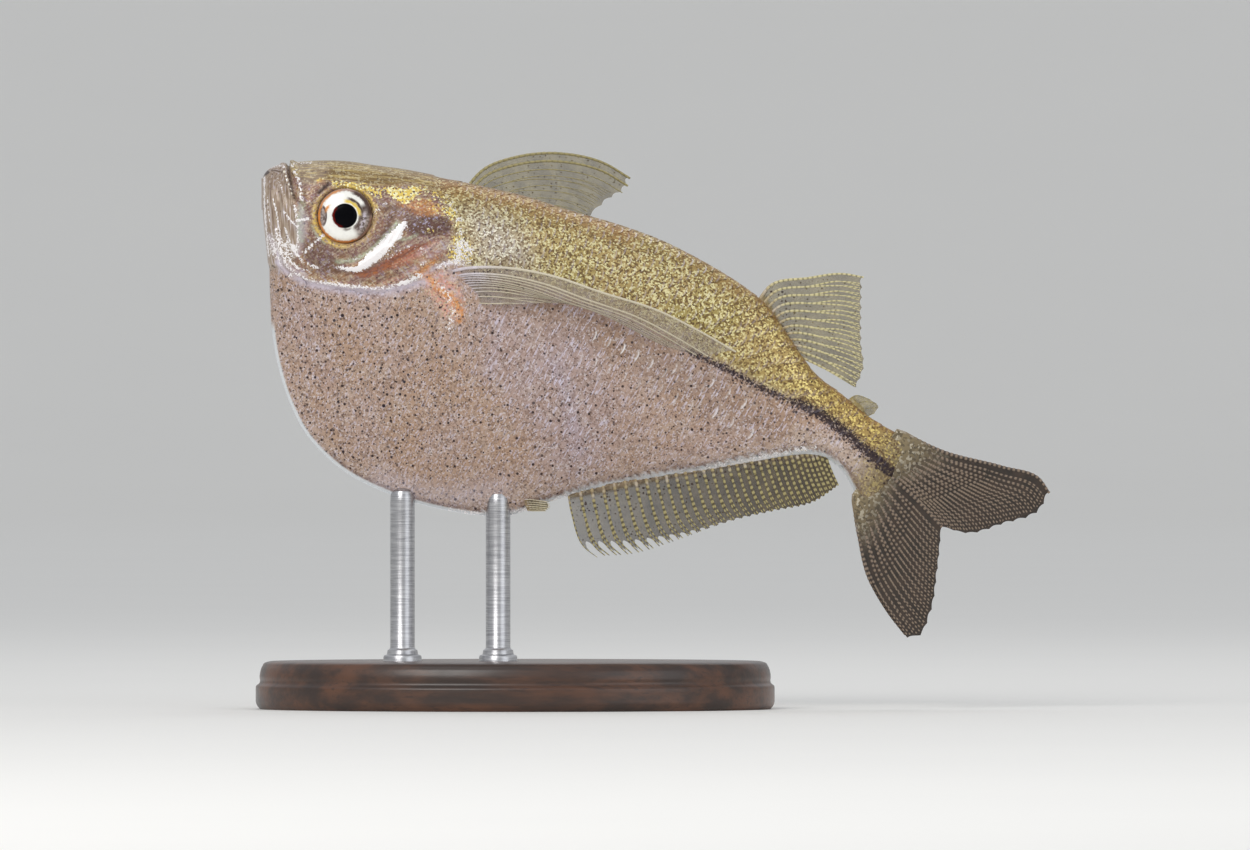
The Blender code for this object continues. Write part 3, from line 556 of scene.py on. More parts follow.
def on_side(pixels):
    """Places on the fish's side, in hundredths, from pixels of the photograph."""
    pixels = np.asarray(pixels, float)
    return np.stack([pixels[:, 0] - JAW_PIXEL, KEEL_PIXEL - pixels[:, 1]], axis=1) * 100 / PIXELS


def place(points):
    """Turn points in hundredths of the standard length into metres."""
    return (np.asarray(points, float) - (BASE_MIDDLE, 0, 0)) * PART + (0, 0, LIFT)


def unplace(points):
    """Turn points in metres into hundredths of the standard length."""
    return (np.asarray(points, float) - (0, 0, LIFT)) / PART + (BASE_MIDDLE, 0, 0)


def in_plane(line):
    """Points in x and z, set on the fish's middle plane."""
    return np.array([(x, 0.0, z) for x, z in line]) if len(line[0]) == 2 else np.array(line)


def mirrored(sheet):
    """The same sheet on the fish's other side."""
    return {key: [(x, -y, z) for x, y, z in line] for key, line in sheet.items()}


def smooth(knots, at, stops=None):
    """Read a smooth curve through knots, at shares of its length or at stops."""
    knots = np.asarray(knots, float)
    if stops is None:
        stops = run_along(knots)
        stops = stops / stops[-1]
    slopes = np.gradient(knots, stops, axis=0)
    span = np.clip(np.searchsorted(stops, at, side="right") - 1, 0, len(knots) - 2)
    width = (stops[span + 1] - stops[span])[:, None]
    t = (np.asarray(at) - stops[span])[:, None] / width
    start = (2 * t**3 - 3 * t**2 + 1) * knots[span] + (t**3 - 2 * t**2 + t) * width * slopes[span]
    end = (3 * t**2 - 2 * t**3) * knots[span + 1] + (t**3 - t**2) * width * slopes[span + 1]
    return start + end


def run_along(line):
    """The length of a line up to each of its points."""
    return np.concatenate([[0.0], np.cumsum(np.linalg.norm(np.diff(line, axis=0), axis=1))])


def ease(value):
    """A smooth step from 0 to 1 of a value that is held between them."""
    value = np.clip(value, 0, 1)
    return value * value * (3 - 2 * value)


def step(values, start, full):
    """A smooth step of values, from 0 at start to 1 at full."""
    return ease((values - start) / (full - start))


def nearest_on(line, points):
    """Distance from each point to a line, and how far along it the nearest place is."""
    best = np.full(len(points), np.inf)
    share = np.zeros(len(points))
    spans = len(line) - 1
    for i in range(spans):
        along = line[i + 1] - line[i]
        t = np.clip(((points - line[i]) @ along) / (along @ along), 0, 1)
        gap = np.linalg.norm(points - line[i] - t[:, None] * along, axis=1)
        closer = gap < best
        best[closer] = gap[closer]
        share[closer] = (i + t[closer]) / spans
    return best, share


def inside(outline, points):
    """Whether each point lies inside an outline."""
    found = np.zeros(len(points), bool)
    for (x1, z1), (x2, z2) in zip(outline, np.roll(outline, -1, axis=0)):
        if z1 != z2:
            crosses = (z1 > points[:, 1]) != (z2 > points[:, 1])
            found ^= crosses & (points[:, 0] < (x2 - x1) * (points[:, 1] - z1) / (z2 - z1) + x1)
    return found


def shape_mask(points, pixels, width, soft, taper=False):
    """How much each point in x and z belongs to a line, or to an area if the width is 0."""
    steps = np.linspace(0, 1, 3 * len(pixels) + 2)
    line = on_side(pixels)
    if width == 0:
        line = smooth(np.concatenate([line, line[:1]]), steps)
    elif len(pixels) > 2:
        line = smooth(line, steps)
    half = width * 50 / PIXELS
    soft = soft * 100 / PIXELS
    margin = 2 * half + soft
    near = np.all((points > line.min(axis=0) - margin) & (points < line.max(axis=0) + margin), axis=1)
    picked = points[near]
    gap, share = nearest_on(line, picked)
    if width == 0:
        gap = np.where(inside(line, picked), -gap, gap)
    elif taper:
        half = half * np.sqrt(np.clip(np.sin(math.pi * share), 0, 1))
    mask = np.zeros(len(points))
    mask[near] = ease((half - gap) / soft + 0.5)
    return mask


def half_widths(down, half, widest, sharp):
    """Half widths of a section at shares of the way down from back to keel."""
    keel = KEEL_HALF / half
    above = np.clip(1 - down / widest, 0, 1)
    below = np.clip((down - widest) / (1 - widest), 0, 1)
    crown = (1 - above**BACK_ROUNDNESS) ** (1 / BACK_ROUNDNESS)
    flank = (1 - keel) * (1 - below**BELLY_FALL) ** sharp
    edge = keel * np.sqrt(1 - below**KEEL_ROUNDNESS)
    return half * np.where(down < widest, crown, flank + edge)


def sections_at(numbers):
    """The body's sections at numbers between those of the table."""
    return smooth(SECTIONS, numbers, np.arange(float(len(SECTIONS))))


def half_section(at, down):
    """Points of the right flank at a section number, from the back to the keel."""
    back_x, back_z, keel_x, keel_z, half, widest, sharp = sections_at(np.array([at]))[0]
    y = half_widths(down, half, widest, sharp)
    y[[0, -1]] = 0.0
    return np.stack([back_x + (keel_x - back_x) * down, y, back_z + (keel_z - back_z) * down], axis=1)


def from_middle(points):
    """Distance in metres of points in x and z from the middle of the eye."""
    return np.linalg.norm(points - on_side([EYE_PIXEL]), axis=1) * PART


def rearward(side):
    """How far behind the tail fin's root each point in x and z lies, in hundredths."""
    return (side - TAIL_ROOT) @ TAIL_LEAN


def relief(points):
    """How far the skin stands out from the plain body, in metres."""
    rise = np.zeros(len(points))
    for pixels, width, soft, height, *taper in RELIEF:
        rise += height * shape_mask(points, pixels, width, soft, *taper)
    radius = from_middle(points)
    rise += ORBIT_RISE * ease(1.2 - np.abs(radius - EYE_RADIUS - ORBIT_WIDTH / 2) / ORBIT_WIDTH)
    return rise - SOCKET_DEPTH * ease((EYE_RADIUS - radius) / SOCKET_WALL + 0.6)


def mark(item):
    """Write the masks of the markings, with painted shade, sheen and highlights among them, on each point
    of a mesh.
    """
    side = unplace(vectors(item.data.vertices, "co"))[:, [0, 2]]
    masks = {}
    for name, shapes in MARKINGS.items():
        masks[name] = np.max([strength * shape_mask(side, pixels, width, soft, *taper)
                              for pixels, width, soft, strength, *taper in shapes], axis=0)
    outlines = sections_at(np.linspace(0, len(SECTIONS) - 1, 90))
    back, keel = (nearest_on(line, side)[0] * PIXELS / 100 for line in (outlines[:, :2], outlines[:, 2:4]))
    x, z = side.T
    top = on_side([BREAST_TOP])[0, 1]
    line = step(keel, *KEEL_LINE)
    under = step(z, top, top - 2)
    across, up = (side - on_side([EYE_PIXEL])).T
    turn = np.arctan2(up, across)
    lit = np.max([np.clip(np.cos(turn - math.radians(angle)), 0, 1) ** narrowness
                  for angle, narrowness in ORBIT_LIGHTS], axis=0)
    ring = ease(1.4 - 2 * np.abs(from_middle(side) - EYE_RADIUS - ORBIT_GAP) / ORBIT_WIDTH)
    masks |= {
        "crest": np.maximum(masks["crest"], step(back, *CREST_EDGE) * step(x, *CREST_RUN) * 0.75),
        "keel_line": line * under,
        "keel_shade": (step(keel, *KEEL_SHADE) - line) * under * step(x, *SHADE_RUN),
        "orbit": ring * np.clip(0.30 + 0.75 * lit, 0, 1),
        "dots": np.clip(masks["dots"] + 0.45, 0, 1) * (1 - masks["back"]) * (1 - masks["head"]),
        "tail_root": step(rearward(side), *TAIL_RUN),
        "rear": step(x, *REAR_RUN),
    }
    put_all(item, masks)


def added(name, data):
    """A new object of a mesh, a lamp or a camera, in the scene's collection."""
    item = bpy.data.objects.new(name, data)
    bpy.context.scene.collection.objects.link(item)
    return item


def mesh_object(name, verts, faces, edges=()):
    """A mesh object of points in metres."""
    mesh = bpy.data.meshes.new(name)
    mesh.from_pydata([tuple(v) for v in verts], list(edges), faces)
    return added(name, mesh)


def finished(item, material=None, sharp=0):
    """A piece with smooth faces, its edges sharp past an angle in degrees, and its material."""
    item.data.shade_smooth()
    if sharp:
        item.data.set_sharp_from_angle(angle=math.radians(sharp))
    if material:
        item.data.materials.append(material)
    return item


def put(item, name, values):
    """Store numbers or vectors on the points of a mesh under a name."""
    kind, key = ("FLOAT_VECTOR", "vector") if np.ndim(values) == 2 else ("FLOAT", "value")
    attribute = item.data.attributes.new(name, kind, "POINT")
    attribute.data.foreach_set(key, np.asarray(values, np.float32).ravel())


def put_all(item, masks):
    """Store several sets of numbers or vectors, each an array or a list of arrays."""
    for name, values in masks.items():
        put(item, name, np.concatenate(values) if isinstance(values, list) else values)


def vectors(things, key):
    """The vectors of a mesh's points or normals."""
    values = np.zeros(len(things) * 3, np.float32)
    things.foreach_get(key, values)
    return values.reshape(-1, 3)


def join_onto_body(item, slot, *nodes):
    """Let a finished piece ride on the fish and stand for its nodes. The slot is not used."""
    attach(item, "root")
    if nodes:
        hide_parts(*nodes)


def light(red, green, blue):
    """A colour given as the display's 0 to 255, turned into linear light."""
    values = np.array([red, green, blue]) / 255
    return tuple(np.where(values > 0.04045, ((values + 0.055) / 1.055) ** 2.4, values / 12.92))


class Signal:
    """A shader socket that takes Python's operators and adds a Math node for each."""

    def __init__(self, shader, socket):
        self.shader = shader
        self.socket = socket

    def __add__(self, other):
        return self.shader.math("ADD", self, other)

    def __sub__(self, other):
        return self.shader.math("SUBTRACT", self, other)

    def __rsub__(self, other):
        return self.shader.math("SUBTRACT", other, self)

    def __mul__(self, other):
        return self.shader.math("MULTIPLY", self, other)

    def __truediv__(self, other):
        return self.shader.math("DIVIDE", self, other)

    def __rtruediv__(self, other):
        return self.shader.math("DIVIDE", other, self)

    def __pow__(self, other):
        return self.shader.math("POWER", self, other)

    __radd__ = __add__
    __rmul__ = __mul__

    def rise(self, low, high):
        """A smooth step of this value, from 0 at low to 1 at high."""
        sockets = {"Value": self, "From Min": low, "From Max": high}
        return self.shader.node("ShaderNodeMapRange", {"interpolation_type": "SMOOTHSTEP"}, sockets)


class Shader:
    """A material built from nodes, one method call for each node."""

    def __init__(self, name, colours):
        self.colours = colours
        self.material = bpy.data.materials.new(name)
        self.material.use_nodes = True
        self.tree = self.material.node_tree
        self.tree.nodes.clear()

    def find(self, sockets, key):
        """A socket by its identifier, its name or its number."""
        if isinstance(key, int):
            return sockets[key]
        named = [s for s in sockets if s.identifier == key] or [s for s in sockets if s.name == key]
        return named[0]

    def node(self, kind, settings=None, sockets=None, out=0):
        """Add a node: its settings, then its sockets' links, values or names of colours."""
        item = self.tree.nodes.new(kind)
        for key, value in (settings or {}).items():
            setattr(item, key, value)
        for key, value in (sockets or {}).items():
            target = self.find(item.inputs, key)
            if isinstance(value, Signal):
                self.tree.links.new(value.socket, target)
            elif isinstance(value, str):
                target.default_value = (*getattr(self.colours, value), 1.0)
            else:
                target.default_value = value
        keys = out if isinstance(out, tuple) else (out,)
        found = [Signal(self, self.find(item.outputs, key)) for key in keys if len(item.outputs)]
        return found if isinstance(out, tuple) or not found else found[0]

    def math(self, operation, *values):
        """A Math node of values or signals."""
        return self.node("ShaderNodeMath", {"operation": operation}, dict(enumerate(values)))

    def highest(self, value, *others):
        """The highest of several values."""
        for other in others:
            value = self.math("MAXIMUM", value, other)
        return value

    def mix(self, share, first, second):
        """A colour between two."""
        sockets = {"Factor_Float": share, "A_Color": first, "B_Color": second}
        return self.node("ShaderNodeMix", {"data_type": "RGBA", "clamp_factor": True}, sockets,
                         "Result_Color")

    def layers(self, base, *coats):
        """A colour under coats in their order, each a share and a colour."""
        for share, colour in coats:
            base = self.mix(share, base, colour)
        return base

    def mask(self, name):
        """A mask that the mesh stores on its points."""
        return self.node("ShaderNodeAttribute", {"attribute_name": name}, {}, "Fac")

    def masks(self, names):
        """Several masks, from their names in one text."""
        return [self.mask(name) for name in names.split()]

    def place(self):
        """The place on the object, in metres."""
        return self.node("ShaderNodeTexCoord", {}, {}, "Object")

    def axes(self):
        """The place on the object as three numbers."""
        return self.node("ShaderNodeSeparateXYZ", {}, {0: self.place()}, ("X", "Y", "Z"))

    def drawn(self, scale, lean=0.0):
        """The place on the object, drawn out by a scale and leaning about the fish's width."""
        sockets = {"Vector": self.place(), "Rotation": (0.0, lean, 0.0), "Scale": scale}
        return self.node("ShaderNodeMapping", {"vector_type": "TEXTURE"}, sockets, "Vector")

    def noise(self, size, detail=2.0, roughness=0.5, vector=None):
        """Soft noise with features of about a given size in metres."""
        sockets = {"Vector": vector or self.place(), "Scale": 1 / size, "Detail": detail,
                   "Roughness": roughness}
        return self.node("ShaderNodeTexNoise", {}, sockets, "Fac")

    def strokes(self, width, length, lean):
        """Noise drawn out into strokes that lean by an angle from upright."""
        return self.noise(1.0, 1.5, 0.5, self.drawn((width, width, length), lean))

    def cells(self, size):
        """Three random numbers for each of scattered cells of about a given size in metres."""
        sockets = {"Vector": self.place(), "Scale": 1 / size}
        return self.channels(self.node("ShaderNodeTexVoronoi", {}, sockets, "Color"))

    def channels(self, colour):
        """The three numbers of a colour."""
        return self.node("ShaderNodeSeparateColor", {}, {0: colour}, ("Red", "Green", "Blue"))

    def flecked(self, mask, cell, cover):
        """A mask whose edge and inside break up into cells."""
        return (mask * cover - cell * 0.95).rise(0.02, 0.32)

    def dotted(self, base, size, radius, density, colour="dot", blend=0.85):
        """A colour with small round dots where the density lets them be, and the dots alone."""
        x, _, z = self.axes()
        flat = self.node("ShaderNodeCombineXYZ", {}, {0: x, 1: z}, "Vector")
        gap, tint = self.node("ShaderNodeTexVoronoi", {"voronoi_dimensions": "2D"},
                              {"Vector": flat, "Scale": 1 / size}, ("Distance", "Color"))
        chance, spread, depth = self.channels(tint)
        reach = (spread * 0.8 + 0.55) * radius / size
        dot = (1 - (gap / reach).rise(0.60, 1.0)) * (density - chance).rise(0.0, 0.04)
        return self.mix(dot * (depth * 0.5 + 0.5) * blend, base, colour), dot

    def bump(self, height, distance, strength=1.0):
        """A normal raised by a height of 0 to 1 over a distance in metres."""
        sockets = {"Height": height, "Distance": distance, "Strength": strength}
        return self.node("ShaderNodeBump", {}, sockets, "Normal")

    def finish(self, base, roughness, coat=(0.0, 0.0), others=None):
        """End the material in a Principled shader, under a coat of a weight and a roughness."""
        sockets = {"Base Color": base, "Roughness": roughness, "Coat Weight": coat[0],
                   "Coat Roughness": coat[1]} | (others or {})
        surface = self.node("ShaderNodeBsdfPrincipled", {}, sockets, "BSDF")
        self.node("ShaderNodeOutputMaterial", {}, {"Surface": surface})
        return self.material


def skin_material(colours):
    """Silver flanks with dark dots, a gold glittering back and the head's markings, with painted shade,
    sheen and highlights.
    """
    shader = Shader("fish_skin", colours)
    back, crown, crest, head, jaw, silver = shader.masks("back crown crest head jaw silver")
    lilac, streaks, rear, tail_root, umber = shader.masks("lilac streaks rear tail_root umber")
    russet, rose, gilded, dots, stripe = shader.masks("russet rose gold dots stripe")
    broad = shader.noise(0.0040)
    middle = shader.noise(0.00115, 3.0, 0.6)
    fine = shader.noise(0.00040, 3.0, 0.65)
    leaning = shader.strokes(0.00013, 0.0010, SCALE_LEAN)
    crossing = shader.strokes(0.00014, 0.0009, -CROSS_LEAN)
    upright = shader.strokes(0.00012, 0.0016, JAW_LEAN)
    level = shader.strokes(0.00013, 0.0034, CROWN_LEAN)
    sweeping = shader.strokes(0.00012, 0.0008, SWEEP_LEAN)
    first, second, third = shader.cells(0.000125)
    small, tiny, spare = shader.cells(0.00010)

    # Painted glints and sheen: pale lilac threads along the scales' lean
    threads = leaning.rise(0.56, 0.66) * (streaks * 0.20 + lilac * 0.45 + 0.50)
    flank = shader.layers(
        "flank",
        (broad.rise(0.36, 0.64) * 0.7, "warm_flank"),
        (shader.mask("pale") * 0.65, "pale_flank"),
        # Painted sheen over the lilac areas
        (lilac * (middle * 0.6 + 0.15), "lilac"),
        (middle.rise(0.48, 0.66) * 0.30, "pale_flank"),
        (streaks * 0.20, "flank_shade"),
        (fine.rise(0.50, 0.66) * 0.46, "flank_shade"),
        ((1 - crossing.rise(0.30, 0.42)) * 0.44, "flank_shade"),
        (threads, "pale_lilac"),
        (small.rise(0.86, 0.90) * 0.50, "flank_flecks"),
        ((1 - tiny.rise(0.10, 0.16)) * 0.65, "flank_shade"),
    )
    gold = shader.layers(
        "back",
        (broad.rise(0.35, 0.65), "green_back"),
        (rear * 0.85, "rear_back"),
        (silver * (middle * 0.8 + 0.45), "silver"),
    )
    skull = shader.layers(
        "cheek",
        (middle.rise(0.44, 0.60) * 0.7, "warm_cheek"),
        (sweeping.rise(0.50, 0.64) * 0.62, "pale_cheek"),
        (crossing.rise(0.56, 0.7) * 0.40, "lilac"),
        ((1 - sweeping.rise(0.34, 0.44)) * 0.45, "umber"),
    )
    dome = shader.mix(level.rise(0.42, 0.60), "dark_crown", "crown")
    chin = shader.mix(upright.rise(0.36, 0.60), "dark_jaw", "jaw")
    base = shader.layers(
        flank,
        (back, gold),
        (head, skull),
        (crown, shader.mix(level.rise(0.58, 0.68) * 0.7, dome, "crown_lines")),
        (jaw * 0.94, shader.mix(upright.rise(0.56, 0.70) * 0.65, chin, "pale_lilac")),
        (tail_root * (middle * 0.9 + 0.5), "peduncle"),
        (crest * (fine * 0.5 + 0.55), "crest"),
    )
    for mask, colour, breakup in (
        # Umber: brown patches of the head, and the painted shadow under the near pectoral fin
        (umber, "umber", 0.50),
        (russet, shader.mix(sweeping.rise(0.42, 0.58), "russet", "dark_russet"), 0.55),
        (rose, "rose", 0.80),
        (shader.mask("mint"), "mint", 0.60),
        (shader.mask("amber"), "amber", 0.66),
    ):
        patch = mask * (1 - (third * 0.6 + fine * 0.6) * breakup)
        base = shader.mix(patch.rise(0.08, 0.72) * 0.94, base, colour)

    calm = 1 - shader.highest(umber * 0.75, russet * 0.9)
    glitter = shader.highest(back * (1 - head * 0.85), crown * 0.16, gilded * 0.9,
                             head * calm * (1 - jaw) * 0.30, rose * 0.35, tail_root * 0.6)
    glitter = glitter * (1 - crest * 0.62)
    sparkle = glitter * first.rise(0.70, 0.78)
    gleam = shader.layers("light_glitter", (rear * 0.9, "gold_glitter"),
                          (silver * 0.8 + head * 0.35, "silver_flecks"))
    base = shader.layers(
        base,
        (umber * third.rise(0.76, 0.84) * sweeping.rise(0.40, 0.56) * 0.65, "lilac"),
        (glitter * (1 - first.rise(0.24, 0.34)) * (0.80 - silver * 0.12), "dark_glitter"),
        (sparkle * (0.90 - tail_root * 0.5), gleam),
        (shader.mask("orbit") * second.rise(0.12, 0.4) * 0.9, "orbit"),
        (gilded.rise(0.3, 0.9) * 0.35, "umber"),
        (shader.flecked(gilded, second, 1.02), shader.mix(third.rise(0.45, 0.7), "gilt", "pale_gilt")),
        (shader.mask("shade") * (fine * 0.5 + 0.55), "head_lines"),
    )

    base, freckle = shader.dotted(base, 0.00064, 0.000096, dots * 1.1, blend=1.25)
    base, grain = shader.dotted(base, 0.00042, 0.000066, dots * 0.8, blend=0.95)
    base, mote = shader.dotted(base, 0.00048, 0.000070, head * 0.35 + back * 0.3 + silver * 0.5)
    base = shader.layers(base, (stripe * 0.35, "umber"),
                         (shader.flecked(stripe, small, 1.02) * 0.90, "stripe"))
    base, _ = shader.dotted(base, 0.00030, 0.000125, dots * 0.4 + stripe - 0.35, "stripe", 1.1)
    bright = shader.flecked(shader.mask("white") * (fine * 0.7 + 0.62), spare, 1.45)
    # Painted highlights on the rear edges of the scales
    arc = shader.mask("scale_rim").rise(0.25, 0.85) * fine.rise(0.28, 0.45)
    base = shader.layers(
        base,
        (shader.mask("keel_shade") * fine.rise(0.34, 0.5) * 0.55, "umber"),
        (shader.mask("sheen") * (fine * 0.8 + 0.35), "pale_lilac"),
        (shader.mask("keel_line") * 0.88, "keel"),
        (shader.flecked(shader.mask("bead_row"), tiny, 1.0), "white"),
        (bright * 0.95, "white"),
        # The jaw's dark spot, and painted shade in the nostrils and the mouth's slit
        (shader.mask("ink") * 0.9, "dot"),
        # Painted highlights: pale arcs on every scale's rear edge, white on the glinting rows
        (arc * (back * (0.20 - rear * 0.16) + 0.06), "pale_lilac"),
        (arc * shader.mask("dash") * 0.95, "white"),
    )
    height = fine * 0.35 + second * glitter * 0.45 + bright * 0.2 - freckle * 0.1 - mote * 0.1
    height = height + threads * 0.15 + level * crown * 0.6 - grain * 0.05
    return shader.finish(base, fine * 0.16 - bright * 0.10 - sparkle * 0.14 + 0.34, (0.12, 0.20), {
        "Metallic": (back * 0.17 + 0.15) * (1 - freckle) + sparkle * 0.25,
        "Normal": shader.bump(height, 0.00006, 0.6),
        "Specular IOR Level": 0.35,
    })


def eye_material(colours):
    """A silver iris with dark windows, a gold crescent and a black pupil."""
    shader = Shader("fish_eye", colours)
    x, _, z = shader.axes()
    middle_x, _, middle_z = place(in_plane(on_side([EYE_PIXEL])))[0]
    across = (x - middle_x) / EYE_RADIUS
    up = (z - middle_z) / EYE_RADIUS
    radius = (across * across + up * up) ** 0.5
    angle = shader.math("ARCTAN2", up, across)
    fibre = shader.noise(0.00022, 3.0, 0.6)
    edge = radius + (fibre - 0.5) * 0.12

    def sector(middle, half, soft=9):
        turned = shader.math("WRAP", angle - math.radians(middle), math.pi, -math.pi)
        span = [math.radians(half - soft), math.radians(half + soft)]
        return 1 - shader.math("ABSOLUTE", turned).rise(*span)

    def ring(inner, outer, soft=0.035):
        return edge.rise(inner - soft, inner + soft) * (1 - edge.rise(outer - soft, outer + soft))

    window = shader.mix(fibre.rise(0.35, 0.65), "dark_window", "window")
    almond = ((across + 0.83) / 0.17) ** 2 + (up / 0.37) ** 2
    windows = shader.highest(1 - almond.rise(0.75, 1.05), ring(0.53, 0.93) * sector(-18, 38))
    outline = almond.rise(0.45, 0.8) * (1 - almond.rise(1.0, 1.3)) * across.rise(-0.86, -0.76)
    base = shader.layers(
        "iris",
        (fibre.rise(0.45, 0.75) * 0.3, "iris_shade"),
        (windows * 0.95, window),
        (outline * 0.85, "dark_window"),
        # A painted glint: a pale lilac line in the right window
        (ring(0.66, 0.78) * sector(-14, 24) * fibre.rise(0.40, 0.55) * 0.6, "pale_lilac"),
    )
    for inner, outer, middle, half, colour, share in (
        (0.48, 0.60, 46, 44, "gilt", 1.0),
        (0.59, 0.69, 46, 34, "dark_window", 1.0),
        (0.50, 0.62, -26, 26, "dark_window", 0.75),
        (0.66, 0.75, 157, 10, "amber", 1.0),
        (0.46, 0.55, -80, 16, "dark_window", 0.7),
        (0.91, 1.02, 180, 181, "rust", 0.75),
        (0.84, 0.99, 36, 36, "dark_window", 1.0),
        (0.68, 0.90, 22, 9, "dark_window", 1.0),
        (0.92, 0.99, 235, 60, "amber", 0.9),
        (0.90, 0.97, 140, 40, "amber", 0.8),
    ):
        base = shader.mix(ring(inner, outer) * sector(middle, half) * share, base, colour)
    pupil = 1 - radius.rise(0.435, 0.465)
    base = shader.layers(base, (pupil, "pupil"), (ring(0.39, 0.46) * sector(196, 62), "pupil_edge"))
    return shader.finish(base, pupil * 0.1 + 0.24, (0.40 - pupil * 0.37, 0.05), {
        "Metallic": radius.rise(0.46, 0.52) * (1 - windows) * 0.15,
        "Normal": shader.bump(fibre, 0.00003, 0.3),
        "Specular IOR Level": 0.04,
    })


def membrane_material(name, tint, shade, flesh, clearness, clouding, colours):
    """Thin clear fin skin with small dark dots, thick and scaly at its root."""
    shader = Shader(name, colours)
    root, near, across = shader.masks("root near across")
    cloud = shader.noise(0.0012, 3.0, 0.6)
    fleck, second, _ = shader.cells(0.00017)
    meat = shader.layers(flesh, ((1 - fleck.rise(0.2, 0.4)) * 0.55, shade),
                         (second.rise(0.70, 0.85) * 0.6, "bead"))
    base = shader.layers(tint, (cloud.rise(0.35, 0.65), shade), (root, meat))
    base, dot = shader.dotted(base, 0.00040, 0.000055, 0.55, blend=0.8)
    base, spot = shader.dotted(base, 0.00030, 0.000085, near * 0.75 - root, blend=1.2)
    alpha = cloud * 0.14 + dot * 0.45 + spot * 0.6 + root.rise(0.0, 0.5) * 0.85 + clearness
    return shader.finish(base, 0.36, (0.2, 0.15), {
        "Alpha": shader.math("MINIMUM", alpha + across * clouding, 1.0),
        "Normal": shader.bump(shader.noise(0.00020) * 0.3 + second * root, 0.00003, 0.4),
    })


def ray_material(name, bead, joint, flesh, colours):
    """Pale bony segments with darker joints between them, and painted highlights near their roots."""
    shader = Shader(name, colours)
    root = shader.mask("root")
    grain = shader.noise(0.00018)
    base = shader.layers(
        joint,
        (shader.mask("bead").rise(0.25, 0.75) * (grain * 0.6 + 0.68), bead),
        # Painted highlights: white patches near the rays' roots
        (root.rise(0.3, 0.9) * shader.noise(0.0008).rise(0.50, 0.62) * 0.6, "white"),
        (root.rise(0.30, 1.0) * 0.75, flesh),
    )
    return shader.finish(base, grain * 0.15 + 0.28, (0.25, 0.15),
                         {"Normal": shader.bump(grain, 0.00002, 0.3)})


def bead_material(colours):
    """Bright silver-white crystal beads."""
    shader = Shader("crystal_beads", colours)
    grain = shader.noise(0.00016)
    base = shader.mix(grain.rise(0.35, 0.65), "white", "bead")
    return shader.finish(base, grain * 0.2 + 0.16, (0.6, 0.1), {"Metallic": 0.25})


def wood_material(colours):
    """Dark stained wood with its grain along the base, under a satin finish."""
    shader = Shader("stained_wood", colours)
    stretched = shader.drawn((6.25, 1, 1))
    figure = shader.noise(0.0022, 4.0, 0.6, stretched)
    pore = shader.noise(0.00032, 2.0, 0.6, stretched)
    base = shader.layers("dark_wood", (figure.rise(0.35, 0.66), "light_wood"),
                         ((1 - pore.rise(0.30, 0.46)) * 0.6, "dark_wood"))
    return shader.finish(base, pore * 0.2 + 0.32, (0.45, 0.22),
                         {"Normal": shader.bump(pore, 0.00004, 0.35)})


def steel_material(colours):
    """Brushed steel, with fine rings round the rods."""
    shader = Shader("brushed_steel", colours)
    brushing = shader.noise(0.0016, 3.0, 0.6, shader.drawn((1, 1, 1 / 22)))
    base = shader.mix(brushing.rise(0.3, 0.7), "dark_steel", "steel")
    return shader.finish(base, brushing * 0.18 + 0.22, others={
        "Metallic": 1.0, "Normal": shader.bump(brushing, 0.00001, 0.3)})


def floor_material(colours):
    """A plain pale studio floor with a faint unevenness."""
    shader = Shader("studio_floor", colours)
    return shader.finish(shader.mix(shader.noise(0.05, 3.0) * 0.3, "floor", "floor_shade"), 0.8)


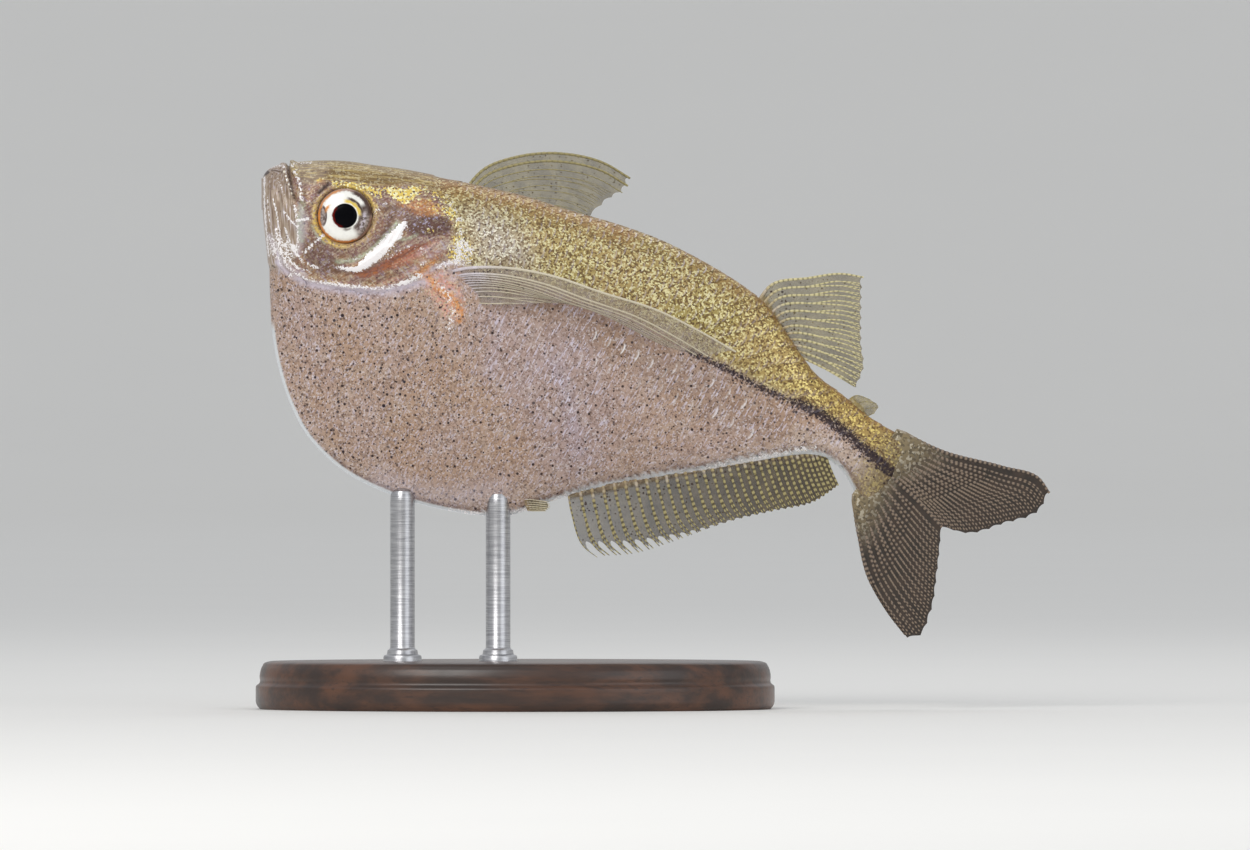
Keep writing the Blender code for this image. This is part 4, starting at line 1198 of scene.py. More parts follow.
class Rule:
    """A Geometry Nodes tree, built one node at a time and applied to an object."""

    def __init__(self, name):
        self.tree = bpy.data.node_groups.new(name, "GeometryNodeTree")
        for way in ("INPUT", "OUTPUT"):
            self.tree.interface.new_socket("Geometry", in_out=way, socket_type="NodeSocketGeometry")
        self.start = self.tree.nodes.new("NodeGroupInput")
        self.end = self.tree.nodes.new("NodeGroupOutput")
        self.values = {}

    def setting(self, name, kind, value):
        """A named input of the tree, with the value that this model gives it."""
        socket = self.tree.interface.new_socket(name, in_out="INPUT", socket_type="NodeSocket" + kind)
        self.values[socket.identifier] = value
        return self.start.outputs[socket.identifier]

    def node(self, kind, settings=None, sockets=None, out=0):
        """Add a node with its settings and its sockets' values or links."""
        item = self.tree.nodes.new(kind)
        for key, value in (settings or {}).items():
            setattr(item, key, value)
        for key, value in (sockets or {}).items():
            target = item.inputs[key]
            if isinstance(value, bpy.types.NodeSocket):
                self.tree.links.new(value, target)
            else:
                target.default_value = value
        return item.outputs[out]

    def stored(self, name, kind="FLOAT"):
        """A named attribute of the geometry."""
        return self.node("GeometryNodeInputNamedAttribute", {"data_type": kind}, {"Name": name})

    def vector(self, name):
        """A named vector of the geometry."""
        return self.stored(name, "FLOAT_VECTOR")

    def product(self, first, second):
        """The product of two numbers."""
        return self.node("ShaderNodeMath", {"operation": "MULTIPLY"}, {0: first, 1: second})

    def moved(self, start, way, length):
        """A place moved along a vector by a number of its lengths."""
        way = self.node("ShaderNodeVectorMath", {"operation": "SCALE"}, {0: way, "Scale": length})
        return self.node("ShaderNodeVectorMath", {"operation": "ADD"}, {0: start, 1: way})

    def sampled(self, ground, value):
        """A vector of another mesh at its place nearest to each point."""
        return self.node("GeometryNodeSampleNearestSurface", {"data_type": "FLOAT_VECTOR"},
                         {"Mesh": ground, "Value": value,
                          "Sample Position": self.node("GeometryNodeInputPosition")})

    def laid(self, shape, turn, size):
        """A shape laid on every point."""
        return self.node("GeometryNodeInstanceOnPoints", {}, {
            "Points": self.start.outputs[0], "Instance": shape, "Rotation": turn, "Scale": size})

    def apply(self, item, geometry, material):
        """End the tree, run it on an object, and leave the result as a plain mesh."""
        solid = self.node("GeometryNodeRealizeInstances", {}, {"Geometry": geometry})
        paint = self.setting("Finish", "Material", material)
        painted = self.node("GeometryNodeSetMaterial", {}, {"Geometry": solid, "Material": paint})
        self.tree.links.new(painted, self.end.inputs[0])
        modifier = item.modifiers.new("rule", "NODES")
        modifier.node_group = self.tree
        for identifier, value in self.values.items():
            modifier[identifier] = value
        depsgraph = bpy.context.evaluated_depsgraph_get()
        result = bpy.data.meshes.new_from_object(item.evaluated_get(depsgraph))
        item.modifiers.clear()
        item.data = result


def grid_faces(columns, rows, offset=0):
    """Quads between neighbouring columns of points, each column of rows points."""
    faces = []
    for i in range(columns - 1):
        for j in range(rows - 1):
            a = offset + i * rows + j
            faces.append((a, a + rows, a + rows + 1, a + 1))
    return faces


def ring_faces(count, size, turned=False):
    """Quads between neighbouring closed rings of points, each ring of size points."""
    faces = []
    for i in range(count - 1):
        for j in range(size):
            k = (j + 1) % size
            a, b, c, d = i * size + j, (i + 1) * size + j, (i + 1) * size + k, i * size + k
            faces.append((a, d, c, b) if turned else (a, b, c, d))
    return faces


def wall_faces(columns, rows, start=0):
    """The rim of a grid of points, and the wall from it to the copy that follows the grid."""
    grid = np.arange(columns * rows).reshape(columns, rows) + start
    rim = np.concatenate([grid[0], grid[1:, -1], grid[-1, -2::-1], grid[-2:0:-1, 0]]).tolist()
    size = columns * rows
    return rim, [(a, b, size + b, size + a) for a, b in zip(rim, rim[1:] + rim[:1])]


def lathe(profile, sides, stretch=0.0):
    """Rings of points turned from radii and heights, drawn out along x by a length."""
    turns = 2 * math.pi * np.arange(sides) / sides
    return np.concatenate([
        np.stack([np.cos(turns) * (radius + stretch), np.sin(turns) * radius, np.full(sides, z)], axis=1)
        for radius, z in profile])


def side_steps():
    """Shares of the way down a section, closer together over the head."""
    upper = np.linspace(0, math.pi / 2, UPPER_STEPS + 1)[:-1]
    lower = np.linspace(math.pi / 2, math.pi, LOWER_STEPS + 1)
    return (1 - np.cos(np.concatenate([upper, lower]))) / 2


def section_numbers():
    """Section numbers of the skin's rings, closer together over the head."""
    head = np.arange(0, HEAD_SECTIONS, 1 / HEAD_STEPS)
    body = np.arange(HEAD_SECTIONS, len(SECTIONS) - 1 + 0.5 / BODY_STEPS, 1 / BODY_STEPS)
    return np.concatenate([head, body])


def flank_grid():
    """Points of the right flank in hundredths, by ring and by step down."""
    down = side_steps()
    return np.array([half_section(at, down) for at in section_numbers()])


def make_skin(body, material):
    """Loft one skin over head, jaw, trunk, breast and tail, with the head's relief."""
    flank = flank_grid()
    first = [flank[0] * (1, width, 1) - (reach, 0, 0) for width, reach in NOSE_CLOSING]
    last = [flank[-1] * (1, width, 1) + TAIL_WAY * reach for width, reach in TAIL_CLOSING]
    flank = np.concatenate([first, flank, last])
    rings = np.concatenate([flank, (flank * (1, -1, 1))[:, -2:0:-1]], axis=1)
    count, size = rings.shape[:2]
    end = range((count - 1) * size, count * size)
    points = rings.reshape(-1, 3)
    skin = mesh_object("fish_skin", place(points),
                       ring_faces(count, size) + [tuple(range(size)), tuple(reversed(end))])
    side = points[:, [0, 2]]
    coat = body.coat_depth * (1 - shape_mask(side, HEAD_AREA, 0, 5))
    outward = vectors(skin.data.vertex_normals, "vector")
    moved = place(points) + outward * (relief(side) - coat)[:, None]
    skin.data.vertices.foreach_set("co", moved.astype(np.float32).ravel())
    skin.data.update()
    finished(skin, material)
    put(skin, "outward", vectors(skin.data.vertex_normals, "vector"))
    mark(skin)
    return skin


def scale_template(body):
    """One thin scale, its free edge a rounded arc, with its local places stored."""
    s, t = (part.ravel() for part in np.meshgrid(np.linspace(-1, 1, SCALE_COLUMNS), SCALE_STOPS,
                                                 indexing="ij"))
    reach = body.scale_reach * (1 - SCALE_CORNER * np.abs(s) ** SCALE_ROUNDING)
    x = -body.scale_root + (reach + body.scale_root) * t
    swell = np.sin(np.minimum(t / SCALE_FULL, 1) * math.pi / 2)
    y = s * body.scale_half * (SCALE_NECK + (1 - SCALE_NECK) * swell)
    lift = -SCALE_SINK + SCALE_RISE * t - SCALE_CURL * s**2
    local = np.tile(np.stack([x, y, 0 * x], axis=1), (2, 1))
    rows = len(SCALE_STOPS)
    rim, wall = wall_faces(SCALE_COLUMNS, rows)
    under = tuple(len(x) + i for i in rim)
    item = mesh_object("scale_template", local, grid_faces(SCALE_COLUMNS, rows) + wall + [under])
    put(item, "height", np.concatenate([lift, lift - SCALE_THICK]))
    put(item, "local", local)
    # The rear edge, where the skin material paints highlights
    behind = np.clip((t - SCALE_STOPS[-2]) / (1 - SCALE_STOPS[-2]), 0, 1)
    put(item, "scale_rim", np.tile(behind * step(np.abs(s), *SCALE_RIM), 2))
    return item


def scale_seeds(body):
    """Roots of the right flank's scales: places, directions, sizes and map places."""
    metres = place(flank_grid())
    numbers = section_numbers()
    arcs = np.array([run_along(ring) for ring in metres])
    deepest = arcs.max()
    run = run_along(metres[:, UPPER_STEPS * 3 // 4])
    columns = np.arange(body.scale_pitch / 2, run[-1], body.scale_pitch / 2)
    positions = np.interp(columns, run, np.arange(len(numbers)))
    end = len(metres) - 1.001
    random = np.random.default_rng(7)
    seeds = []

    def surface(position, depth):
        low = int(min(position, len(metres) - 2))
        share = position - low
        points = [[np.interp(depth, arcs[i], metres[i, :, axis]) for axis in range(3)]
                  for i in (low, low + 1)]
        return np.array(points[0]) * (1 - share) + np.array(points[1]) * share

    def span(position, depth, half):
        return surface(min(position + half, end), depth) - surface(max(position - half, 0), depth)

    for row in range(int(deepest / body.scale_row)):
        depth = body.scale_row * (row + FIRST_ROW)
        for column, position in enumerate(positions):
            if column % 2 != row % 2:
                continue
            low = int(min(position, len(metres) - 2))
            bare = KEEL_BARE * step(numbers[low], BARE_UNTIL, BARE_UNTIL - 2) + EDGE_FREE
            if depth > min(arcs[low, -1], arcs[low + 1, -1]) - bare * body.scale_row:
                continue
            lie = span(position, depth, 0.5)
            lie /= np.linalg.norm(lie)
            down = surface(position, depth + PROBE) - surface(position, max(depth - PROBE, 0))
            down[1] = min(down[1], PROBE) if row == 0 else down[1]
            outward = np.cross(down, lie)
            outward /= np.linalg.norm(outward)
            gap = positions[min(column + 1, len(positions) - 1)] - positions[max(column - 1, 0)]
            length = np.linalg.norm(span(position, depth, gap / 2)) * random.uniform(*SCALE_LENGTHS)
            seeds.append((surface(position, depth), outward, lie, length, random.uniform(*SCALE_LIFTS),
                          (position / len(metres), depth / deepest, 0)))
    return seeds


def edge_glints(side, flank):
    """How strongly a highlight is painted on each scale's rear edge, in rows under the stripe and over it.
    """
    shine = np.max([strength * shape_mask(side, pixels, width, 5.0)
                    for pixels, width, strength in EDGE_GLINTS], axis=0)
    return shine * np.random.default_rng(23 + flank).uniform(*GLINT_SPREAD, len(side))


def in_clear(seeds):
    """The seeds that lie behind the head and off its plates."""
    side = np.array([unplace(seed[0])[[0, 2]] for seed in seeds])
    covered = np.max([shape_mask(side + reach, HEAD_AREA, 0, 3) for reach in SCALE_PROBES], axis=0)
    return [seed for seed, hidden in zip(seeds, covered > 0.5) if not hidden]


def make_scales(name, flank, seeds, template, skin, body, material):
    """Lay one flank's scales over the skin by Geometry Nodes."""
    centres, outward, lie, lengths, lifts, map_roots = (np.array(part) for part in zip(*seeds))
    turn = np.array([1, flank, 1])
    item = mesh_object(name, centres * turn, [])
    side = unplace(centres)[:, [0, 2]]
    widths = np.minimum(lengths, body.scale_pitch * SCALE_WIDEST)
    spare = {
        "grow_out": outward * turn,
        "lie": lie * turn,
        "size": np.stack([lengths, widths, widths], axis=1),
        "lift": lifts * body.scale_lift * (1 - SETTLED * step(rearward(side), *SETTLING)),
        "map_root": map_roots,
    }
    put_all(item, spare | {"dash": edge_glints(side, flank)})
    rule = Rule("scale_coat")
    shape, ground = (
        rule.node("GeometryNodeObjectInfo", {}, {"Object": rule.setting(label, "Object", thing)},
                  "Geometry")
        for label, thing in (("Scale", template), ("Skin", skin)))
    turned = rule.node("FunctionNodeAxesToRotation", {"primary_axis": "Z", "secondary_axis": "X"},
                       {0: rule.vector("grow_out"), 1: rule.vector("lie")})
    loose = rule.node("GeometryNodeRealizeInstances", {},
                      {"Geometry": rule.laid(shape, turned, rule.vector("size"))})
    foot = rule.sampled(ground, rule.node("GeometryNodeInputPosition"))
    raised = rule.moved(foot, rule.sampled(ground, rule.vector("outward")),
                        rule.product(rule.stored("height"), rule.stored("lift")))
    draped = rule.node("GeometryNodeSetPosition", {}, {"Geometry": loose, "Position": raised})
    on_map = rule.moved(rule.vector("map_root"), rule.vector("local"),
                        rule.setting("Patch", "Float", body.map_patch))
    mapped = rule.node("GeometryNodeStoreNamedAttribute", {"data_type": "FLOAT2", "domain": "CORNER"},
                       {"Geometry": draped, "Name": "OFBake", "Value": on_map})
    rule.apply(item, mapped, material)
    for key in (*spare, "height", "local"):
        item.data.attributes.remove(item.data.attributes[key])
    mark(item)
    return finished(item, sharp=50)


def sheet_points(sheet, s, t):
    """Points of a fin's sheet at shares across and along it, in hundredths."""
    root, first, last, edge = (in_plane(sheet[key]) for key in ("root", "first", "last", "edge"))
    a, b = s[:, None], t[:, None]
    leading = smooth(np.concatenate([root[:1], first, edge[:1]]), t)
    trailing = smooth(np.concatenate([root[-1:], last, edge[-1:]]), t)
    inner = smooth(root, s) - (1 - a) * root[0] - a * root[-1]
    outer = smooth(edge, s) - (1 - a) * edge[0] - a * edge[-1]
    return (1 - a) * leading + a * trailing + (1 - b) * inner + b * outer


def make_membrane(name, look, fins, material):
    """The thin skin of a fin, closed all round, scalloped between the ray tips."""
    verts, faces = [], []
    masks = {"root": [], "near": [], "across": []}
    for sheet, rays in zip(look["sheets"], look["rays"]):
        columns = GAP_COLUMNS * (rays - 1) + 1
        size = columns * SHEET_ROWS
        even_share = np.linspace(0, 1, columns)
        s = look["spacing"](even_share)
        wave = np.abs(np.sin(math.pi * even_share * (rays - 1)))
        cut = 1 - look["scallop"](s) * (SCALLOP_REST + (1 - SCALLOP_REST) * wave)
        across = np.repeat(s, SHEET_ROWS)
        along = np.tile(np.linspace(0, 1, SHEET_ROWS), columns) * np.repeat(cut, SHEET_ROWS)
        middle = place(sheet_points(sheet, across, along)).reshape(columns, SHEET_ROWS, 3)
        normal = np.cross(np.gradient(middle, axis=0), np.gradient(middle, axis=1)).reshape(-1, 3)
        normal /= np.linalg.norm(normal, axis=1)[:, None] + 1e-12
        root = 1 - ease(along / look["flesh"])
        half = fins.membrane / 2 * (1 - SKIN_THINNING * along) + look["thick"] * root**1.5
        middle = middle.reshape(-1, 3)
        shift = normal * half[:, None]
        start = sum(len(group) for group in verts)
        verts += [middle + shift, middle - shift]
        for key, values in (("root", root), ("near", 1 - ease(along / SPOTTED)), ("across", across)):
            masks[key] += [values, values]
        faces += grid_faces(columns, SHEET_ROWS, start)
        faces += [face[::-1] for face in grid_faces(columns, SHEET_ROWS, start + size)]
        faces += wall_faces(columns, SHEET_ROWS, start)[1]
    item = mesh_object(name, np.concatenate(verts), faces)
    put_all(item, masks)
    return finished(item, material, 60)


def ray_paths(rays, look):
    """Shares across and along for each ray's stem, branches and twigs, and its thinness."""
    shares = look["spacing"](np.linspace(0, 1, rays))
    fork, refork = look["forks"]
    paths = []
    for i, (s0, gap) in enumerate(zip(shares, np.gradient(shares))):
        if i in look["plain"] or fork >= 1:
            paths.append((i, s0, gap, 0, 0, 0.0, 1.0, 1.0))
            continue
        paths.append((i, s0, gap, 0, 0, 0.0, fork, 1.0))
        for side in (-1, 1):
            paths.append((i, s0, gap, side, 0, fork, min(refork, 1.0), look["thinner"]))
            if refork < 1:
                for twig in (-1, 1):
                    paths.append((i, s0, gap, side, twig, refork, 1.0, look["thinner"] * TWIG_THINNER))
    return paths


def make_rays(name, look, fins, material):
    """Bony rays as beaded tubes along the sheets, made by Geometry Nodes."""
    verts, edges, count = [], [], 0
    masks = {"girth": [], "bead": [], "root": []}
    random = np.random.default_rng(11)
    fork, refork = look["forks"]
    segment = look["segment"] * fins.segment
    for sheet, rays in zip(look["sheets"], look["rays"]):
        phases = random.uniform(0, 1, rays)
        for ray, s0, gap, side, twig, begin, end, thin in ray_paths(rays, look):
            fine = np.linspace(begin, min(end, 1 - BRANCH_SHORTER * abs(side)), RAY_STEPS)
            spread = look["spread"] * gap * side * ease((fine - fork) / max(min(refork, 1) - fork, 0.1))
            spread += TWIG_SPREAD * gap * twig * ease((fine - refork) / max(1 - refork, 0.1))
            line = place(sheet_points(sheet, np.clip(s0 + spread, 0, 1), fine))
            arc = run_along(line)
            points = max(int(arc[-1] / segment * BEAD_POINTS), 3)
            stops = np.linspace(0, arc[-1], points)
            t = np.interp(stops, arc, fine)
            phase = (stops + begin * arc[-1] / max(end - begin, 0.01)) / segment + phases[ray]
            bead = np.maximum(np.sin(math.pi * phase) ** 2, 1 - step(t, *BEADS_START))
            bead = 1 - look["beading"] * (1 - bead)
            width = ((1 - t) * look["root"] + t * look["tip"]) * step(t, *RAY_START)
            verts.append(np.stack([np.interp(stops, arc, line[:, k]) for k in range(3)], axis=1))
            masks["girth"].append(width * fins.ray * look["lead"].get(ray, 1.0) * thin
                                  * (1 - BEAD_SWELL * (1 - bead)))
            masks["bead"].append(bead)
            masks["root"].append(1 - ease(t / ROOT_END))
            edges += [(count + i, count + i + 1) for i in range(points - 1)]
            count += points
    item = mesh_object(name, np.concatenate(verts), [], edges)
    put_all(item, masks)
    rule = Rule("fin_rays")
    sides = rule.setting("Sides", "Int", fins.ray_sides)
    swell = rule.setting("Thickness", "Float", 1.0)
    line = rule.node("GeometryNodeMeshToCurve", {}, {"Mesh": rule.start.outputs[0]})
    ring = rule.node("GeometryNodeCurvePrimitiveCircle", {}, {"Resolution": sides, "Radius": 1.0})
    tube = rule.node("GeometryNodeCurveToMesh", {}, {
        "Curve": line, "Profile Curve": ring, "Scale": rule.product(rule.stored("girth"), swell),
        "Fill Caps": True})
    rule.apply(item, tube, material)
    return finished(item)


def even(depth):
    """The same scallop depth all along a fin's edge."""
    return lambda s: np.full(len(s), depth)


def evenly(share):
    """Rays at even distances."""
    return share


def crowded_ahead(share):
    """Rays closer together at the fin's leading edge."""
    return 0.38 * share + 0.62 * share**2


def banded_ahead(share):
    """Rays crowded ahead, behind a broad band along the leading edge."""
    return (crowded_ahead(share) + 0.10 * ease(share * 10)) / 1.10


def crowded_behind(share):
    """Rays closer together towards the fin's rear."""
    return 1.5 * share - 0.5 * share**2


def deep_ahead(s):
    """Scallops that are deep at the fin's front and shallow behind."""
    return 0.05 + 0.24 * (1 - ease(s / 0.55))


# Fins: sheets, the node that each replaces, numbers of rays, where rays fork, which
# rays stay plain, widths at root and tip, the fleshy root, and the finishes. What
# several fins share comes first.
SINGLE = {"plain": (0,), "segment": 1.0, "lead": {}, "spacing": evenly}
PAIRED = {
    "rays": [11], "forks": (0.50, 0.76), "plain": (0, 1, 2), "root": 0.66, "tip": 0.40,
    "segment": 1.35, "lead": {0: 2.2, 1: 1.7, 2: 1.2}, "scallop": even(0.015), "flesh": 0.11,
    "thick": 0.00010, "spacing": banded_ahead, "spread": 0.22, "thinner": 0.80,
    "beading": 0.30, "skin": "veil", "bones": "pearl",
}
BELLY = SINGLE | {
    "rays": [6], "forks": (2.0, 2.0), "plain": (), "root": 0.6, "tip": 0.35, "segment": 0.8,
    "scallop": even(0.08), "flesh": 0.3, "thick": 0.00003, "spread": 0.24, "thinner": 0.7,
    "beading": 0.5, "skin": "clear", "bones": "pearl",
}
FIN_LOOKS = {
    "dorsal": SINGLE | {
        "sheets": [DORSAL], "node": "dorsal_fin", "rays": [12], "forks": (0.45, 0.78),
        "root": 1.35, "tip": 0.75, "lead": {0: 1.15}, "scallop": even(0.03), "flesh": 0.16,
        "thick": 0.00012, "spread": 0.22, "thinner": 0.78, "beading": 0.62, "skin": "clear",
        "bones": "cream",
    },
    "anal": SINGLE | {
        "sheets": [ANAL], "node": "anal_fin", "rays": [33], "forks": (0.34, 2.0), "root": 1.9,
        "tip": 0.50, "segment": 1.05, "lead": {0: 0.6}, "scallop": deep_ahead, "flesh": 0.22,
        "thick": 0.00014, "spacing": crowded_behind, "spread": 0.19, "thinner": 0.9,
        "beading": 0.9, "skin": "dusky", "bones": "straw",
    },
    "caudal": SINGLE | {
        "sheets": [CAUDAL_UPPER, CAUDAL_LOWER], "node": "caudal_fin", "rays": [11, 10],
        "forks": (0.26, 0.60), "root": 2.0, "tip": 1.15, "lead": {0: 1.1}, "scallop": even(0.02),
        "flesh": 0.44, "thick": 0.00042, "spread": 0.25, "thinner": 0.80, "beading": 1.0,
        "skin": "smoky", "bones": "grey",
    },
    "adipose": SINGLE | {
        "sheets": [ADIPOSE], "node": "adipose_fin", "rays": [4], "forks": (2.0, 2.0), "plain": (),
        "root": 0.5, "tip": 0.25, "scallop": even(0.02), "flesh": 0.5, "thick": 0.00010,
        "spread": 0.2, "thinner": 0.7, "beading": 0.8, "skin": "gilded", "bones": "olive",
    },
    "pectoral_left": PAIRED | {"sheets": [LEFT_PECTORAL], "node": "pectoral_fin_left"},
    "pectoral_right": PAIRED | {
        "sheets": [RIGHT_PECTORAL], "node": "pectoral_fin_right", "beading": 0.55,
        "lead": {0: 2.6, 1: 2.4}, "spacing": crowded_ahead, "skin": "clear", "bones": "olive",
    },
    "pelvic_right": BELLY | {"sheets": [PELVIC], "node": "pelvic_fin_right"},
    "pelvic_left": BELLY | {"sheets": [mirrored(PELVIC)], "node": "pelvic_fin_left"},
}
# Finishes of fin skins: tint, shade, fleshy root, how opaque, and how much more behind
FIN_SKINS = {
    "clear": ("clear_skin", "clear_shade", "fin_flesh", 0.34, 0.06),
    "dusky": ("dusky_skin", "dusky_shade", "fin_flesh", 0.30, 0.45),
    "veil": ("veil_skin", "veil_shade", "rose", 0.30, 0.0),
    "smoky": ("smoky_skin", "smoky_shade", "peduncle", 0.86, 0.0),
    "gilded": ("green_back", "clear_shade", "back", 0.40, 0.0),
}
# Finishes of rays: segments, joints and roots
FIN_BONES = {
    "cream": ("cream_ray", "cream_joint", "fin_flesh"),
    "straw": ("straw_ray", "straw_joint", "fin_flesh"),
    "olive": ("olive_ray", "olive_joint", "crest"),
    "pearl": ("pearl_ray", "pearl_joint", "pale_lilac"),
    "grey": ("grey_ray", "grey_joint", "peduncle"),
}


def make_eye(node, material):
    """An eyeball with a domed pupil and a dished iris, in its node's place."""
    low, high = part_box(node)
    middle = (low + high) / 2
    outward = 1 if middle.y > 0 else -1
    centre = (middle.x, (high.y if outward > 0 else low.y) - outward * EYE_BULGE, middle.z)
    tilts = np.linspace(0, math.pi, EYE_RINGS + 1)[1:-1]
    radius = np.sin(tilts)
    front = tilts < math.pi / 2
    dome = PUPIL_DOME * (1 - step(radius, *DOME_EDGE))
    starts, ends = HOLLOW_EDGES
    hollow = IRIS_HOLLOW * step(radius, *starts) * (1 - step(radius, *ends))
    reach = np.cos(tilts) * np.where(front, EYE_BULGE, EYE_DEPTH) + np.where(front, dome - hollow, 0)
    rings = lathe(np.stack([radius * EYE_RADIUS, outward * reach], axis=1), EYE_SIDES)[:, [0, 2, 1]]
    poles = [(0, outward * (PUPIL_DOME + EYE_BULGE), 0), (0, -outward * EYE_DEPTH, 0)]
    faces = ring_faces(len(tilts), EYE_SIDES)
    last = len(rings) - EYE_SIDES
    for j in range(EYE_SIDES):
        k = (j + 1) % EYE_SIDES
        faces += [(len(rings), j, k), (len(rings) + 1, last + k, last + j)]
    if outward > 0:
        faces = [face[::-1] for face in faces]
    item = mesh_object(node.replace("eye", "eyeball"), np.concatenate([rings, poles]) + centre, faces)
    return finished(item, material)


def make_beads(name, rows, skin, material):
    """Rows of small crystal beads on the skin, made by Geometry Nodes."""
    tree = BVHTree.FromObject(skin, bpy.context.evaluated_depsgraph_get())
    spots, sizes, normals = [], [], []
    random = np.random.default_rng(5)
    for pixels, pitch, size, jitter in rows:
        line = on_side(pixels)
        for x, z in smooth(line, np.linspace(0, 1, max(int(run_along(line)[-1] * PART / pitch), 2))):
            for side in (-1, 1):
                strayed = (x + random.normal(0, jitter), side * BEAD_REACH / PART,
                           z + random.normal(0, jitter))
                spot, normal, _, _ = tree.ray_cast(Vector(place(strayed)), Vector((0, -side, 0)))
                if spot is not None:
                    spots.append(spot)
                    normals.append(normal)
                    sizes.append(size * random.uniform(*BEAD_SIZES))
    item = mesh_object(name, spots, [])
    put(item, "size", sizes)
    put(item, "grow_out", normals)
    rule = Rule("bead_rows")
    ball = rule.node("GeometryNodeMeshUVSphere", {}, {
        "Segments": rule.setting("Segments", "Int", 8), "Rings": rule.setting("Rings", "Int", 5),
        "Radius": 1.0})
    turned = rule.node("FunctionNodeAlignRotationToVector", {"axis": "Z"},
                       {"Vector": rule.vector("grow_out")})
    wide = rule.stored("size")
    flat = rule.node("ShaderNodeCombineXYZ", {}, {0: wide, 1: wide, 2: rule.product(wide, BEAD_HEIGHT)})
    rule.apply(item, rule.laid(ball, turned, flat), material)
    return finished(item)


def make_base(material):
    """An oval wooden base with a moulded rim, turned from one profile."""
    low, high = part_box("stand_base")
    middle = (low + high) / 2
    half = high - middle
    knots = np.clip(smooth(BASE_PROFILE, np.linspace(0, 1, BASE_STEPS)), 0, 1)
    profile = knots * (half.y, high.z - low.z) + (0, low.z)
    verts = lathe(profile, BASE_SIDES, half.x - half.y) + (middle.x, middle.y, 0)
    count = len(verts)
    caps = [tuple(range(BASE_SIDES - 1, -1, -1)), tuple(range(count - BASE_SIDES, count))]
    item = mesh_object("display_base", verts, ring_faces(BASE_STEPS, BASE_SIDES, turned=True) + caps)
    return finished(item, material, 40)


def make_rod(node, stand, material):
    """A turned steel rod with a small collar at its foot and a rounded top."""
    low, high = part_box(node)
    middle = (low + high) / 2
    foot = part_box("stand_base")[1].z
    profile = [(share * unit, start + rise)
               for shares, unit, start in ((COLLAR_PROFILE, stand.collar_radius, foot),
                                           (STEM_PROFILE, high.x - middle.x, foot),
                                           (TOP_PROFILE, high.x - middle.x, high.z))
               for share, rise in shares]
    rings = lathe(profile, ROD_SIDES)
    tip = len(rings)
    last = tip - ROD_SIDES
    faces = ring_faces(len(profile), ROD_SIDES, turned=True)
    faces.append(tuple(range(ROD_SIDES - 1, -1, -1)))
    faces += [(last + i, last + (i + 1) % ROD_SIDES, tip) for i in range(ROD_SIDES)]
    verts = np.concatenate([rings, [(0, 0, high.z + ROD_TIP)]]) + (middle.x, middle.y, 0)
    item = mesh_object(node.replace("stand", "display"), verts, faces)
    return finished(item, material, 35)


def make_floor(stage, material):
    """A pale round floor that curves up into a low wall, far from the model on all sides."""
    bend = np.linspace(0, math.pi / 2, COVE_STEPS + 1)[1:]
    profile = [(stage.floor_radius * share, 0.0) for share in FLOOR_SHARES]
    profile += [(stage.floor_radius + math.sin(a) * stage.cove, (1 - math.cos(a)) * stage.cove)
                for a in bend]
    faces = [tuple(range(FLOOR_SIDES))] + ring_faces(len(profile), FLOOR_SIDES)
    finished(mesh_object("studio_floor", lathe(profile, FLOOR_SIDES), faces), material)


def add_lamp(name, power, spot, size, colour):
    """A soft square lamp that looks at the fish."""
    lamp = bpy.data.lights.new(name, "AREA")
    lamp.size = size
    lamp.energy = power
    lamp.color = colour
    item = added(name, lamp)
    item.location = spot
    item.rotation_euler = (Vector(LAMP_AIM) - Vector(spot)).to_track_quat("-Z", "Y").to_euler()


def set_camera(stage):
    """The camera of the photograph: level, square to the fish, far off."""
    camera = bpy.data.cameras.new("photo_camera")
    camera.sensor_width = SENSOR_WIDTH
    camera.lens = SENSOR_WIDTH * stage.distance / (PHOTO_WIDTH * 100 / PIXELS * PART)
    camera.clip_start = 0.01
    item = added("photo_camera", camera)
    x, _, z = place(in_plane(on_side([(PHOTO_WIDTH / 2, PHOTO_HEIGHT / 2)])))[0]
    item.location = (x, -stage.distance, z)
    item.rotation_euler = (math.pi / 2, 0, 0)
    bpy.context.scene.camera = item


def length_property(name, description, default):
    """A length in metres that a user may change."""
    return FloatProperty(name=name, description=description, default=default, min=0.0, precision=6,
                         subtype="DISTANCE", unit="LENGTH")


def ratio_property(name, description, default):
    """A plain number that a user may change."""
    return FloatProperty(name=name, description=description, default=default, min=0.0)


def power_property(name, description, default):
    """A lamp's power that a user may change."""
    return FloatProperty(name=name, description=description, default=default, unit="POWER")


def colour_property(key, red, green, blue):
    """A colour that a user may change, given as the display's 0 to 255."""
    words = key.replace("_", " ")
    return FloatVectorProperty(name=words.capitalize(), description="Colour of the " + words, size=3,
                               subtype="COLOR", min=0.0, max=1.0, default=light(red, green, blue))


class HatchetfishColours(bpy.types.PropertyGroup):
    """Colours of the fish, the stand and the floor."""

    __annotations__ = {key: colour_property(key, *shown) for key, shown in COLOURS.items()}


